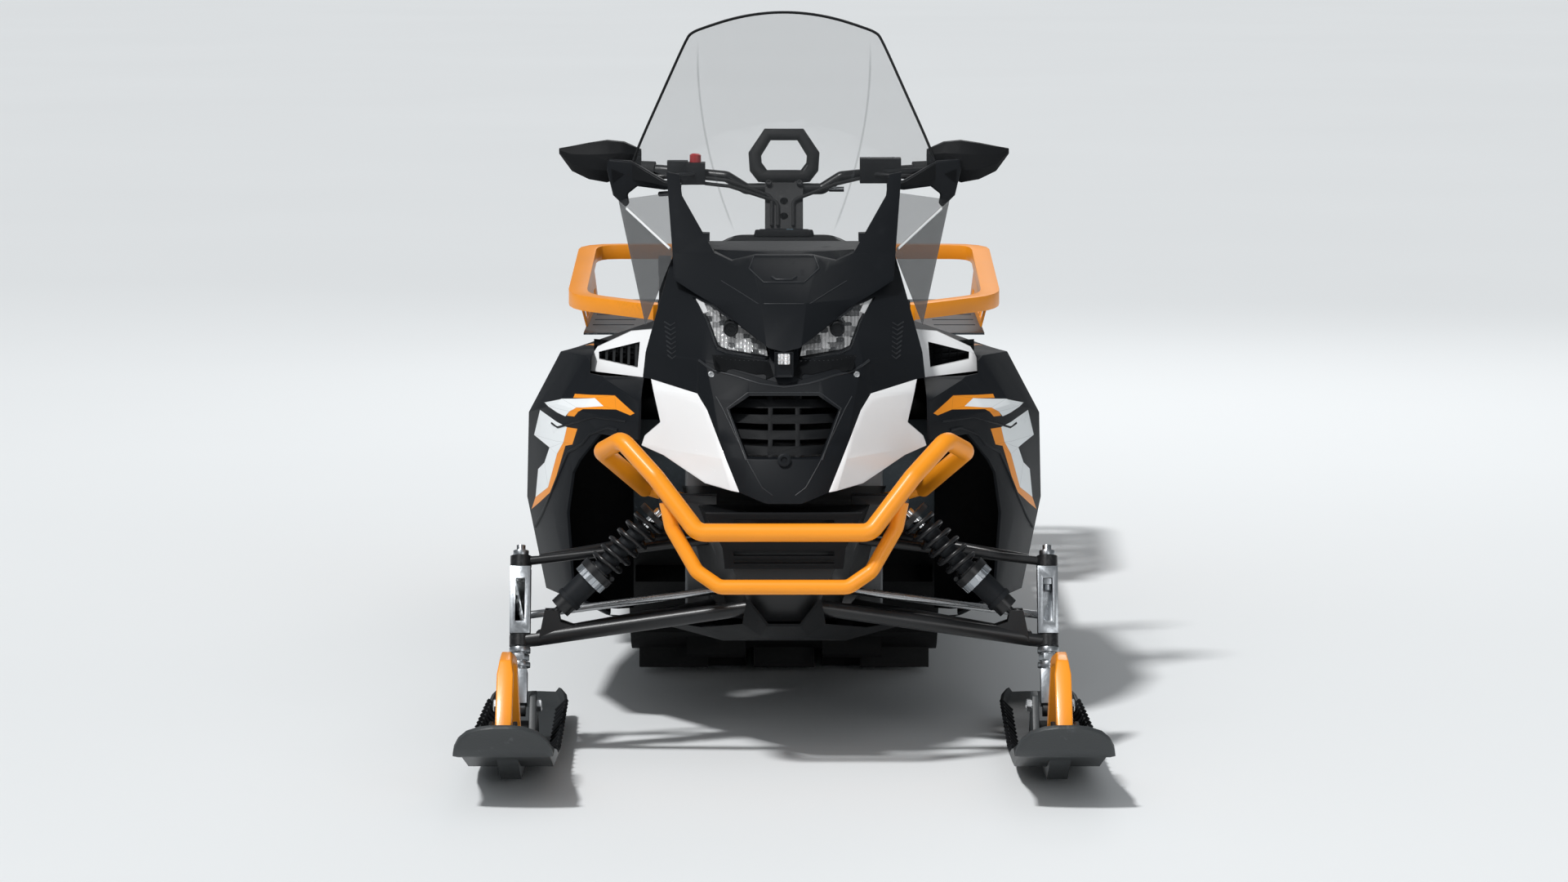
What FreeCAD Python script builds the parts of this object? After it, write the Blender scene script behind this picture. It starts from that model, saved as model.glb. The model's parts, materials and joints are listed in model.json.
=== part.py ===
import FreeCAD, Part
import math
import os
import re
from types import SimpleNamespace

import Sketcher
from FreeCAD import Placement, Rotation, Vector

# Two-seat wide-track utility snowmobile, in millimetres.
# It faces -Y, +Z is up and X = 0 is its plane of symmetry; the floor is Z = 0.
doc = FreeCAD.newDocument("Snowmobile")
sheet = doc.addObject("Spreadsheet::Sheet", "Sizes")

# Driving sizes: name, value, what it is.
sizeTable = (
    ("TrackWidth", 600, "belt across the machine"),
    ("TrackLinks", 54, "rows of lugs round the loop"),
    ("BeltThickness", 8, "rubber belt"),
    ("LugLift", 0.5, "flat run's lug tips above the floor, for the tips that turn down at its ends"),
    ("LugHeight", 38, "from the belt to the lug tips"),
    ("LugFoot", 24, "lug along the belt at its root"),
    ("LugTip", 14, "lug along the belt at its tip"),
    ("SprocketRadius", 92, "belt's inner face over the drive sprockets"),
    ("SprocketY", -330, "drive axle along the machine"),
    ("SprocketZ", 385, "drive axle height"),
    ("IdlerRadius", 115, "belt's inner face over the rear idlers"),
    ("IdlerY", 1280, "rear idler axle along the machine"),
    ("RampRadius", 250, "belt's inner face over the rails' front bend"),
    ("RampY", -40, "where the flat run ends in front"),
    ("RunningGap", 0.3, "air between pieces that run or seat on each other"),
    ("RailSpacing", 340, "between the two slide rails' middles"),
    ("RailThickness", 16, "slide rail across"),
    ("RailHeight", 62, "slide rail"),
    ("RailRear", 1215, "rear end of the slide rails"),
    ("AxleRadius", 14, "wheel and cross axles"),
    ("TunnelClearance", 20, "between track edge and tunnel wall"),
    ("TunnelWall", 4, "tunnel sheet and its folded hems"),
    ("TunnelTop", 545, "top of the tunnel"),
    ("TunnelFoot", 300, "lower edge of the tunnel walls"),
    ("TunnelFront", -484, "front of the tunnel"),
    ("TunnelTail", 200, "tunnel behind the rear idler axle"),
    ("BoardTop", 330, "top of the running boards"),
    ("BoardDepth", 14, "running board, over its pressed ribs"),
    ("BoardWidth", 142, "running board across, from the tunnel's wall"),
    ("BoardFront", 70, "front end of the running boards"),
    ("BoardRear", 1010, "rear end of the running boards"),
    ("BodyWall", 5, "moulded body panels"),
    ("SeamHalf", 250, "seam between hood and side panels, from the plane of symmetry"),
    ("HoodTop", 888, "top of the hood and of the console's front"),
    ("NoseBack", -560, "rear edge of the hood"),
    ("SkiSpread", 475, "ski middle from the plane of symmetry"),
    ("SkiWidth", 170, "ski at its shoulders"),
    ("SkiTail", 146, "ski at its tail"),
    ("SkiBoltY", -1075, "ski bolt along the machine"),
    ("SkiBoltZ", 99, "ski bolt height"),
    ("SkiBoltRadius", 7, "ski bolt"),
    ("KeelDepth", 20, "keel below the ski's sole"),
    ("SoleThickness", 14, "ski's sole"),
    ("SkiTipY", -1610, "front end of the skis"),
    ("SkiTailY", -640, "rear end of the skis"),
    ("BallX", 471, "lower ball joint from the plane of symmetry"),
    ("BallY", -1060, "lower ball joint along the machine"),
    ("BallZ", 213, "lower ball joint height"),
    ("Caster", 20, "kingpin leaning back, degrees"),
    ("UpperBall", 144, "upper ball joint, along the kingpin"),
    ("StudRadius", 8, "ball studs"),
    ("RingRadius", 19, "eyes at the ends of the arms"),
    ("RingHeight", 20, "eyes at the ends of the arms"),
    ("ArmRelief", 34, "arm tubes flattened to the eye's height inside this radius"),
    ("StudGap", 0.6, "between a ball stud and its eye"),
    ("LowerArmRadius", 14, "lower arm tube"),
    ("UpperArmRadius", 8, "upper arm tube"),
    ("TieRodRadius", 7, "tie rod"),
    ("SteerArm", 98, "tie rod eye behind the kingpin"),
    ("SteerRise", 48, "tie rod eye above the lower ball, along the kingpin"),
    ("ShockRadius", 22, "damper body"),
    ("SpringRadius", 27, "coil spring to its wire's middle"),
    ("SpringWire", 4.2, "coil spring wire, radius"),
    ("SpringTurns", 6, "coils"),
    ("BumperRadius", 16, "bumper tube"),
    ("ColumnRake", 35, "steering column leaning back, degrees"),
    ("BarY", -110, "handlebar clamp along the machine"),
    ("BarZ", 954, "handlebar clamp height"),
    ("BarRadius", 11, "handlebar tube"),
    ("BarHalf", 372, "handlebar tip from the plane of symmetry"),
    ("GripRadius", 17, "rubber grips"),
    ("GripLength", 125, "rubber grips"),
    ("HoopRadius", 9, "strap hoop tube"),
    ("ColumnRadius", 15, "steering column"),
    ("CradleHalf", 110, "engine rails from the plane of symmetry"),
    ("CradleTube", 30, "engine rails, square tube"),
    ("ScreenWall", 4, "clear windshield"),
    ("RackHalf", 428, "rack plate from the plane of symmetry"),
    ("RackTop", 583, "rack plate's face"),
    ("RackWall", 4, "rack plate"),
    ("RackFront", 790, "front edge of the rack plate"),
    ("RackRear", 1575, "rear edge of the rack plate"),
    ("RackBarWidth", 40, "rack hoop's bar across"),
    ("RackBarHeight", 32, "rack hoop's bar upright"),
    ("RackBolt", 8.5, "accessory holes in the rack plate"),
    ("RackBoltHalf", 300, "accessory holes from the plane of symmetry"),
    ("HitchBore", 16, "hitch pin"),
    ("HitchReach", 106, "hitch pin behind the tunnel"),
    ("HitchZ", 352, "middle of the hitch tongue"),
    ("HitchWall", 10, "hitch tongue"),
    ("EngineWidth", 360, "engine block"),
    ("EngineLength", 320, "engine block"),
    ("EngineHeight", 300, "engine block"),
    ("EngineFoot", 245, "underside of the engine block"),
)
# Sizes that follow from them: name, formula, what it is.
followTable = (
    ("HalfIn", "=TrackWidth / 2 + TunnelClearance", "inside of the tunnel walls"),
    ("HalfOut", "=TrackWidth / 2 + TunnelClearance + TunnelWall", "outside of the tunnel walls"),
    ("BoardEdge", "=HalfOut + BoardWidth", "outer edge of the running boards"),
    ("TunnelRear", "=IdlerY + TunnelTail", "rear of the tunnel"),
    ("HitchY", "=TunnelRear + HitchReach", "hitch pin along the machine"),
)
for row, (alias, value, meaning) in enumerate(sizeTable + followTable, 1):
    sheet.set(f"A{row}", meaning)
    sheet.set(f"B{row}", str(value))
    sheet.setAlias(f"B{row}", alias)
doc.recompute()
size = SimpleNamespace(**{row[0]: float(sheet.get(row[0])) for row in sizeTable + followTable})

beltBottom = size.LugHeight + size.BeltThickness + size.LugLift
idlerZ = beltBottom + size.IdlerRadius
across = Vector(1, 0, 0)
solids = []


def cell(text):
    return re.sub(r"\b([A-Z]\w+)\b", r"Sizes.\1", text)


def amount(text):
    numbers = re.sub(r"\b([A-Z]\w+)\b", lambda found: repr(getattr(size, found.group(1))), text)
    return FreeCAD.Units.Quantity(numbers).Value


# Binds properties to the sheet; a double underscore stands for the dot in a property's path.
def bind(item, **expressions):
    for name, text in expressions.items():
        item.setExpression(name.replace("__", "."), cell(text))
    return item


def keep(item, label):
    item.Label = label
    solids.append(item)
    return item


def feature(name, shape):
    item = doc.addObject("Part::Feature", name)
    item.Shape = shape
    return item


def twin(item, name):
    other = doc.addObject("Part::Mirroring", name)
    other.Source = item
    other.Normal = across
    return other


def group(kind, name, items):
    joined = doc.addObject(kind, name)
    if kind == "Part::Compound":
        joined.Links = items
    else:
        joined.Shapes = items
    return joined


def pair(item, label):
    return keep(group("Part::Compound", label + "_pair", [item, twin(item, label + "_other")]), label)


# One sketch on a body's own plane, every corner tied to the sheet.
def outline(body, name, role, corners):
    sketch = body.newObject("Sketcher::SketchObject", name)
    plane = next(item for item in body.Origin.OriginFeatures if item.Role == role)
    sketch.AttachmentSupport = (plane, "")
    sketch.MapMode = "FlatFace"
    places = [(amount(first), amount(second)) for first, second in corners]
    count = len(places)
    for index in range(count):
        start, end = places[index], places[(index + 1) % count]
        sketch.addGeometry(Part.LineSegment(Vector(*start, 0), Vector(*end, 0)), False)
    for index in range(count):
        sketch.addConstraint(Sketcher.Constraint("Coincident", index, 2, (index + 1) % count, 1))
    for index, corner in enumerate(corners):
        for kind, text, value in zip(("DistanceX", "DistanceY"), corner, places[index]):
            number = sketch.addConstraint(Sketcher.Constraint(kind, -1, 1, index, 1, value))
            sketch.setExpression(f"Constraints[{number}]", cell(text))
    return sketch


def pad(body, sketch, name, forward, backward=None):
    slab = body.newObject("PartDesign::Pad", name)
    slab.Profile = sketch
    if backward is None:
        slab.SideType = "Symmetric"
    else:
        slab.SideType = "Two sides"
        bind(slab, Length2=backward)
    bind(slab, Length=forward)
    return slab


# A round bar along X from one side of the machine to the other.
def barAcross(name, radius, left, right, y, z):
    bar = doc.addObject("Part::Cylinder", name)
    bar.Placement = Placement(Vector(), Rotation(Vector(0, 1, 0), 90))
    bind(bar, Radius=radius, Height=f"({right}) - ({left})", Placement__Base__x=left)
    bind(bar, Placement__Base__y=y, Placement__Base__z=z)
    return bar


# A tube's centre line: straight runs with a tangent arc of one radius at each bend.
def bentPath(points, bend):
    edges = []
    start = Vector(*points[0])
    for before, corner, after in zip(points, points[1:], points[2:]):
        here = Vector(*corner)
        back = (Vector(*before) - here).normalize()
        ahead = (Vector(*after) - here).normalize()
        half = back.getAngle(ahead) / 2
        reach = bend / math.tan(half)
        first = here + back * reach
        last = here + ahead * reach
        inward = (back + ahead).normalize()
        middle = here + inward * (bend / math.sin(half) - bend)
        edges.append(Part.LineSegment(start, first).toShape())
        edges.append(Part.Arc(first, middle, last).toShape())
        start = last
    edges.append(Part.LineSegment(start, Vector(*points[-1])).toShape())
    return Part.Wire(edges)


def tube(points, radius, bend=0):
    path = bentPath(points, bend) if len(points) > 2 else Part.makePolygon([Vector(*p) for p in points])
    heading = Vector(*points[1]) - Vector(*points[0])
    ring = Part.Wire(Part.makeCircle(radius, Vector(*points[0]), heading))
    return path.makePipeShell([ring], True, False)


def rod(start, end, radius):
    start, end = Vector(*start), Vector(*end)
    return Part.makeCylinder(radius, (end - start).Length, start, end - start)


# A block between its lowest and highest corner
def block(low, high):
    low, high = Vector(*low), Vector(*high)
    return Part.makeBox(*(high - low), low)


def polygon(points):
    return Part.makePolygon([Vector(*point) for point in points] + [Vector(*points[0])])


def loft(sections, ruled=True):
    return Part.makeLoft([polygon(points) for points in sections], True, ruled)


def mirrored(points):
    return [(-x, y, z) for x, y, z in reversed(points)]


# The track: a belt round three circles, bottom run flat, with three rows of lugs
loopCircles = (
    # centre y, centre z, radius of the belt's inner face
    (size.RampY, beltBottom + size.RampRadius, size.RampRadius),
    (size.IdlerY, idlerZ, size.IdlerRadius),
    (size.SprocketY, size.SprocketZ, size.SprocketRadius),
)


def loopNormals():
    normals = []
    for here, there in zip(loopCircles, loopCircles[1:] + loopCircles[:1]):
        rise = math.atan2(there[1] - here[1], there[0] - here[0])
        reach = math.hypot(there[0] - here[0], there[1] - here[1])
        normals.append(rise - math.acos((here[2] - there[2]) / reach))
    return normals


def loopPoint(circle, angle, out):
    y, z, radius = circle
    return Vector(0, y + (radius + out) * math.cos(angle), z + (radius + out) * math.sin(angle))


def loopWire(out):
    normals = loopNormals()
    edges = []
    for index, circle in enumerate(loopCircles):
        leaving = normals[index]
        arriving = normals[index - 1]
        while leaving < arriving:
            leaving += 2 * math.pi
        arc = [loopPoint(circle, angle, out) for angle in (arriving, (arriving + leaving) / 2, leaving)]
        edges.append(Part.Arc(*arc).toShape())
        following = loopCircles[(index + 1) % len(loopCircles)]
        edges.append(Part.LineSegment(arc[2], loopPoint(following, normals[index], out)).toShape())
    return Part.Wire(edges)


lugRows = (
    # blocks across the belt in the even rows and in the odd rows: from x, to x
    ((-285, -150), (-60, 60), (150, 285)),
    ((-190, -75), (75, 190)),
)


def trackShape():
    outer, inner = Part.Face(loopWire(size.BeltThickness)), Part.Face(loopWire(0))
    for face in (outer, inner):
        face.translate(across * (-size.TrackWidth / 2))
    belt = outer.extrude(across * size.TrackWidth).cut(inner.extrude(across * size.TrackWidth))
    path = loopWire(size.BeltThickness)
    links = int(round(size.TrackLinks))
    places = path.discretize(Number=links + 1)[:-1]
    middle = Vector(0, (size.IdlerY + size.SprocketY) / 2, (idlerZ + size.SprocketZ) / 2)
    lugs = []
    for number, place in enumerate(places):
        following = places[(number + 1) % links]
        ahead = (following - places[number - 1]).normalize()
        out = ahead.cross(across)
        if out.dot(place - middle) < 0:
            out = out * -1
        root, tip = size.LugFoot / 2, size.LugTip / 2
        sunk = -size.BeltThickness / 4
        corners = [(-root, sunk), (root, sunk), (tip, size.LugHeight), (-tip, size.LugHeight)]
        for left, right in lugRows[number % 2]:
            ring = [place + across * left + ahead * along + out * up for along, up in corners]
            face = Part.Face(Part.makePolygon(ring + ring[:1]))
            lugs.append(face.extrude(across * (right - left)))
    return belt.multiFuse(lugs)


keep(feature("Track", trackShape()), "track")

# A wheel's face cut by equal windows between its hub and its rim
def windows(y, z, inner, outer, count, left, right):
    spread = math.pi / count * 0.62
    cuts = []
    for number in range(count):
        middle = 2 * math.pi * number / count
        corners = [(inner, middle - spread), (outer, middle - spread), (outer, middle + spread),
                   (inner, middle + spread)]
        places = [(left, y + reach * math.cos(turn), z + reach * math.sin(turn)) for reach, turn in corners]
        ring = polygon(places)
        cuts.append(Part.Face(ring).extrude(across * (right - left)))
    return Part.makeCompound(cuts)


# Drive axle with three toothed sprockets inside the belt
toothCount = 9
toothDepth = 12
sprocketHalf = 20


def sprocket(x):
    tip = size.SprocketRadius - size.RunningGap
    step = 2 * math.pi / toothCount
    ring = []
    for tooth in range(toothCount):
        for reach, turn in ((tip - toothDepth, -0.34), (tip, -0.2), (tip, 0.2), (tip - toothDepth, 0.34)):
            angle = (tooth + turn) * step
            ring.append((x - sprocketHalf, size.SprocketY + reach * math.cos(angle),
                         size.SprocketZ + reach * math.sin(angle)))
    return Part.Face(polygon(ring)).extrude(across * 2 * sprocketHalf)


driveShaft = rod((-size.HalfIn + size.RunningGap, size.SprocketY, size.SprocketZ),
                 (size.HalfIn - size.RunningGap, size.SprocketY, size.SprocketZ), size.AxleRadius + 4)
keep(feature("DriveAxle", driveShaft.multiFuse([sprocket(x) for x in (-200, 0, 200)])), "drive_axle")

# Slide rails: a flat underside on the belt, turned up in front along the belt's own bend
rampTurn = math.radians(38)


def railShape():
    y, z, radius = loopCircles[0]
    low, high = radius - size.RunningGap, radius - size.RunningGap - size.RailHeight
    tipAngle = -math.pi / 2 - rampTurn

    def spot(reach, angle):
        return Vector(0, y + reach * math.cos(angle), z + reach * math.sin(angle))

    turn = (-math.pi / 2 + tipAngle) / 2
    rearLow = Vector(0, size.RailRear, z - low)
    rearHigh = Vector(0, size.RailRear, z - high)
    edges = [
        Part.LineSegment(rearLow, spot(low, -math.pi / 2)),
        Part.Arc(spot(low, -math.pi / 2), spot(low, turn), spot(low, tipAngle)),
        Part.LineSegment(spot(low, tipAngle), spot(high, tipAngle)),
        Part.Arc(spot(high, tipAngle), spot(high, turn), spot(high, -math.pi / 2)),
        Part.LineSegment(spot(high, -math.pi / 2), rearHigh),
        Part.LineSegment(rearHigh, rearLow),
    ]
    face = Part.Face(Part.Wire([edge.toShape() for edge in edges]))
    face.translate(Vector(size.RailSpacing / 2 - size.RailThickness / 2, 0, 0))
    return face.extrude(across * size.RailThickness)


railOne = railShape()
railTwo = railOne.mirror(Vector(), across)
railCrossZ = beltBottom + size.RailHeight / 2
railHalf = size.RailSpacing / 2
crossTubes = [rod((-railHalf, y, railCrossZ), (railHalf, y, railCrossZ), size.AxleRadius)
              for y in (-20, 560, 1120)]
keep(feature("SlideRails", railOne.multiFuse([railTwo] + crossTubes)), "slide_rails")


# Height of the belt's inner face on the upper run
def upperRun(y):
    normals = loopNormals()
    start = loopPoint(loopCircles[1], normals[1], 0)
    end = loopPoint(loopCircles[2], normals[1], 0)
    return start.z + (end.z - start.z) * (y - start.y) / (end.y - start.y)


# Idlers: four big ones on the rear axle, and a pair that carries the upper run
wheelHalf = 12
idlerX = (-225, -85, 85, 225)
axleEnd = 25
rearAxle = rod((idlerX[0] - axleEnd, size.IdlerY, idlerZ), (idlerX[-1] + axleEnd, size.IdlerY, idlerZ),
               size.AxleRadius)
idlers = []
for x in idlerX:
    wheel = rod((x - wheelHalf, size.IdlerY, idlerZ), (x + wheelHalf, size.IdlerY, idlerZ),
                size.IdlerRadius - size.RunningGap)
    spokes = windows(size.IdlerY, idlerZ, size.IdlerRadius * 0.36, size.IdlerRadius * 0.78, 5,
                     x - wheelHalf, x + wheelHalf)
    idlers.append(wheel.cut(spokes))
rearIdlers = feature("RearIdlers", rearAxle.multiFuse(idlers))
carrierRadius = 62
carrierY = 470
carrierSag = 2
carrierZ = upperRun(carrierY) - carrierRadius - carrierSag
carrierAxle = rod((-size.HalfIn + size.RunningGap, carrierY, carrierZ),
                  (size.HalfIn - size.RunningGap, carrierY, carrierZ), size.AxleRadius)
carriers = [rod((x - wheelHalf, carrierY, carrierZ), (x + wheelHalf, carrierY, carrierZ), carrierRadius)
            for x in (-200, 200)]
carrierIdlers = feature("CarrierIdlers", carrierAxle.multiFuse(carriers))
keep(group("Part::Compound", "Idlers", [rearIdlers, carrierIdlers]), "idler_wheels")

# Rear suspension arms between the tunnel walls and the rails
armTable = (
    # upper pivot y, z; lower pivot y
    (60, 352, 330),
    (720, 300, 930),
)
armSolids = []
for number, (topY, topZ, lowY) in enumerate(armTable):
    reach = size.HalfIn - size.RunningGap
    inner = size.RailSpacing / 2 - size.RailThickness / 2 - size.RunningGap
    pieces = [rod((-reach, topY, topZ), (reach, topY, topZ), size.AxleRadius + 3),
              rod((-inner, lowY, railCrossZ), (inner, lowY, railCrossZ), size.AxleRadius)]
    for x in (-110, 110):
        pieces.append(rod((x, topY, topZ), (x, lowY, railCrossZ), size.AxleRadius))
    armSolids.append(feature(f"RearArm{number}", pieces[0].multiFuse(pieces[1:])))
keep(group("Part::Compound", "RearArms", armSolids), "rear_suspension_arms")

# Tunnel: folded sheet over the track, open below and behind
tunnel = doc.addObject("PartDesign::Body", "Tunnel")
tunnelProfile = outline(tunnel, "TunnelProfile", "XZ_Plane", (
    ("-HalfOut", "TunnelFoot"), ("-HalfIn", "TunnelFoot"), ("-HalfIn", "TunnelTop - TunnelWall"),
    ("HalfIn", "TunnelTop - TunnelWall"), ("HalfIn", "TunnelFoot"), ("HalfOut", "TunnelFoot"),
    ("HalfOut", "TunnelTop"), ("-HalfOut", "TunnelTop")))
pad(tunnel, tunnelProfile, "TunnelFold", "-TunnelFront", "TunnelRear")
frontPlate = outline(tunnel, "TunnelFrontPlate", "YZ_Plane", (
    ("TunnelFront", "TunnelFoot"), ("TunnelFront + TunnelWall", "TunnelFoot"),
    ("TunnelFront + TunnelWall", "TunnelTop"), ("TunnelFront", "TunnelTop")))
pad(tunnel, frontPlate, "TunnelFrontWall", "2 * HalfIn + TunnelWall")
keep(tunnel, "tunnel")

# Running boards: ribbed aluminium with a rolled outer edge
board = doc.addObject("PartDesign::Body", "Board")
boardProfile = outline(board, "BoardProfile", "XZ_Plane", (
    ("HalfOut", "BoardTop - BoardDepth"), ("BoardEdge", "BoardTop - BoardDepth"),
    ("BoardEdge", "BoardTop"), ("HalfOut", "BoardTop")))
boardPad = pad(board, boardProfile, "BoardSlab", "-BoardFront", "BoardRear")
boardPad.SideType = "One side"
bind(boardPad, Length="BoardRear - BoardFront")
boardPad.Reversed = True
bind(board, Placement__Base__y="BoardFront")
slotLength = 74
slotWidth = 20
boardMiddle = (size.HalfOut + size.BoardEdge) / 2
slots = []
for number in range(8):
    for x in (boardMiddle - 46, boardMiddle - 10, boardMiddle + 26):
        slots.append(Part.makeBox(slotWidth, slotLength, size.BoardTop,
                                  Vector(x, size.BoardFront + 60 + number * 108, 0)))
boardCut = doc.addObject("Part::Cut", "BoardCut")
boardCut.Base = board
boardCut.Tool = feature("BoardSlots", Part.makeCompound(slots))
pair(boardCut, "running_boards")

# Snow flap behind the track
flap = doc.addObject("Part::Box", "SnowFlap")
bind(flap, Length="2 * HalfIn - 8", Width="6", Height="TunnelTop - TunnelWall - 130")
bind(flap, Placement__Base__x="-HalfIn + 4", Placement__Base__y="TunnelRear - 22", Placement__Base__z="130")
keep(flap, "snow_flap")

# Hitch: a cross beam on the tunnel's end and a tongue with the pin's bore
hitch = doc.addObject("PartDesign::Body", "Hitch")
hitchBeam = outline(hitch, "HitchBeam", "YZ_Plane", (
    ("TunnelRear", "HitchZ - 30"), ("TunnelRear + 34", "HitchZ - 30"),
    ("TunnelRear + 34", "HitchZ + 30"), ("TunnelRear", "HitchZ + 30")))
pad(hitch, hitchBeam, "HitchCross", "2 * HalfOut")
hitchTongue = outline(hitch, "HitchTongue", "XY_Plane", (
    ("-60", "TunnelRear + 10"), ("60", "TunnelRear + 10"), ("34", "HitchY + 24"), ("-34", "HitchY + 24")))
pad(hitch, hitchTongue, "HitchPlate", "HitchZ + HitchWall / 2", "-HitchZ + HitchWall / 2")
hitchPin = doc.addObject("Part::Cylinder", "HitchPin")
bind(hitchPin, Radius="HitchBore / 2", Height="HitchWall + 20", Placement__Base__y="HitchY",
     Placement__Base__z="HitchZ - HitchWall / 2 - 10")
hitchCut = doc.addObject("Part::Cut", "HitchCut")
hitchCut.Base = hitch
hitchCut.Tool = hitchPin
keep(hitchCut, "hitch")

# Tail lamp on the tunnel's rear edge
lamp = doc.addObject("Part::Box", "TailLamp")
bind(lamp, Length="220", Width="40", Height="40", Placement__Base__x="-110",
     Placement__Base__y="TunnelRear", Placement__Base__z="TunnelTop - 40")
keep(lamp, "tail_lamp")

# Rack plate on four feet, with drain slots and the accessory holes
plate = doc.addObject("Part::Box", "RackSheet")
bind(plate, Length="2 * RackHalf", Width="RackRear - RackFront", Height="RackWall")
bind(plate, Placement__Base__x="-RackHalf", Placement__Base__y="RackFront",
     Placement__Base__z="RackTop - RackWall")
rackPieces = [plate]
for number, (x, y) in enumerate(((-250, 850), (250, 850), (-250, 1380), (250, 1380))):
    foot = doc.addObject("Part::Box", f"RackFoot{number}")
    bind(foot, Length="60", Width="60", Height="RackTop - RackWall - TunnelTop")
    bind(foot, Placement__Base__x=f"{x} - 30", Placement__Base__y=str(y), Placement__Base__z="TunnelTop")
    rackPieces.append(foot)
# Drain holes: middles across, and front edges behind the plate's front edge
drainLength, drainWidth = 90, 16
drainAcross = (-370, -130, 0, 130, 370)
drainAlong = (170, 290, 410, 530)
boltEdge = 50
holeFoot, holeHeight = size.RackTop - 3 * size.RackWall, 6 * size.RackWall
rackHoles = [Part.makeBox(drainLength, drainWidth, holeHeight,
                          Vector(x - drainLength / 2, size.RackFront + y, holeFoot))
             for x in drainAcross for y in drainAlong]
rackHoles += [Part.makeCylinder(size.RackBolt / 2, holeHeight, Vector(x, y, holeFoot))
              for x in (-size.RackBoltHalf, size.RackBoltHalf)
              for y in (size.RackFront + boltEdge, size.RackRear - boltEdge)]
rackCut = doc.addObject("Part::Cut", "RackCut")
rackCut.Base = group("Part::MultiFuse", "RackOnFeet", rackPieces)
rackCut.Tool = feature("RackHoles", Part.makeCompound(rackHoles))
keep(rackCut, "rack_plate")

# Rack hoop: a flat bar bent round the load space, on two legs and two side plates
hoopFront, hoopNear, hoopFar = 636, 640, 692
hoopHalf = 447
hoopCorner = 70
hoopLegX, hoopLegY = 262, 706
hoopRearY = 1586


# A flat-sided bar along a path: sections at every vertex, square to the halved turn
def mitredBar(points, width, height):
    places = [Vector(*point) for point in points]
    sections = []
    for index, place in enumerate(places):
        back = place - places[max(index - 1, 0)]
        ahead = places[min(index + 1, len(places) - 1)] - place
        lead = (back if back.Length else ahead).normalize()
        follow = (ahead if ahead.Length else back).normalize()
        middle = (lead + follow).normalize()
        side = middle.cross(Vector(0, 0, 1)).normalize() * (width / 2 / lead.dot(middle))
        rise = Vector(0, 0, height / 2)
        sections.append([place - side - rise, place + side - rise, place + side + rise, place - side + rise])
    return loft(sections)


# Corners of a path replaced by short facets on an arc
def rounded(points, reach, facets=4):
    out = [Vector(*points[0])]
    for before, corner, after in zip(points, points[1:], points[2:]):
        here = Vector(*corner)
        start = here + (Vector(*before) - here).normalize() * reach
        end = here + (Vector(*after) - here).normalize() * reach
        for step in range(facets + 1):
            part = step / facets
            out.append(start * (1 - part) ** 2 + here * (2 * part * (1 - part)) + end * part ** 2)
    out.append(Vector(*points[-1]))
    return out


hoopPath = [(-hoopLegX, hoopLegY, hoopFront), (-hoopHalf, 905, hoopNear), (-hoopHalf, hoopRearY, hoopFar)]
rackBar = mitredBar(rounded(hoopPath + mirrored(hoopPath), hoopCorner), size.RackBarWidth, size.RackBarHeight)
rackLegs, rackSides = [], []
legTop = hoopFront - size.RackBarHeight / 2 + 4


def underHoop(y):
    return hoopNear + (hoopFar - hoopNear) * (y - 905) / (hoopRearY - 905) - size.RackBarHeight / 2


sideFront, sideRear = 930, 1560
sideLean = 12
sideSunk = 3
legHalf = 15
sideHoleLength, sideHoleHeight, sideHoleFoot, sideHoleStep = 74, 22, 12, 110


# One side plate, its foot on the rack plate's edge and its top inside the hoop's bar
def rackSide(side):
    sections = []
    for y in (sideFront, sideRear):
        outer, top = side * size.RackHalf, underHoop(y) + sideSunk
        lean = side * sideLean
        sections.append([(outer - side * size.RackWall, y, size.RackTop), (outer, y, size.RackTop),
                         (outer + lean, y, top), (outer + lean - side * size.RackWall, y, top)])
    holes = [block((side * size.RackHalf - 2 * sideLean, y, size.RackTop + sideHoleFoot),
                   (side * size.RackHalf + 2 * sideLean, y + sideHoleLength,
                    size.RackTop + sideHoleFoot + sideHoleHeight))
             for y in range(sideFront + 40, sideRear - 80, sideHoleStep)]
    return loft(sections).cut(Part.makeCompound(holes))


for side in (-1, 1):
    legX, legY = side * hoopLegX, hoopLegY + legHalf / 2
    rackLegs.append(block((legX - legHalf, legY - legHalf, size.TunnelTop),
                          (legX + legHalf, legY + legHalf, legTop)))
    rackSides.append(rackSide(side))
keep(feature("RackHoop", rackBar.multiFuse(rackLegs + rackSides)), "rack_hoop")

# Seats: lofts of six-sided sections, station y, half width at the foot, at the shoulder and on top, top z
def cushion(stations):
    sections = []
    for y, foot, shoulder, crown, top in stations:
        side = [(-foot, y, size.TunnelTop), (-shoulder, y, top - 70), (-crown, y, top)]
        sections.append(side + mirrored(side))
    return loft(sections)


keep(feature("DriverSeat", cushion((
    (-80, 90, 95, 60, 770), (60, 120, 130, 95, 800), (300, 140, 170, 130, 770), (500, 150, 175, 135, 790),
))), "driver_seat")
keep(feature("PassengerSeat", cushion((
    (506, 150, 178, 140, 800), (640, 155, 185, 150, 795), (765, 155, 180, 140, 790),
))), "passenger_seat")

# Engine: a closed mass at its real place
engine = doc.addObject("Part::Box", "Engine")
bind(engine, Length="EngineWidth", Width="EngineLength", Height="EngineHeight")
bind(engine, Placement__Base__x="-EngineWidth / 2", Placement__Base__y="TunnelFront - 60 - EngineLength",
     Placement__Base__z="EngineFoot")
keep(engine, "engine")

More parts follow.
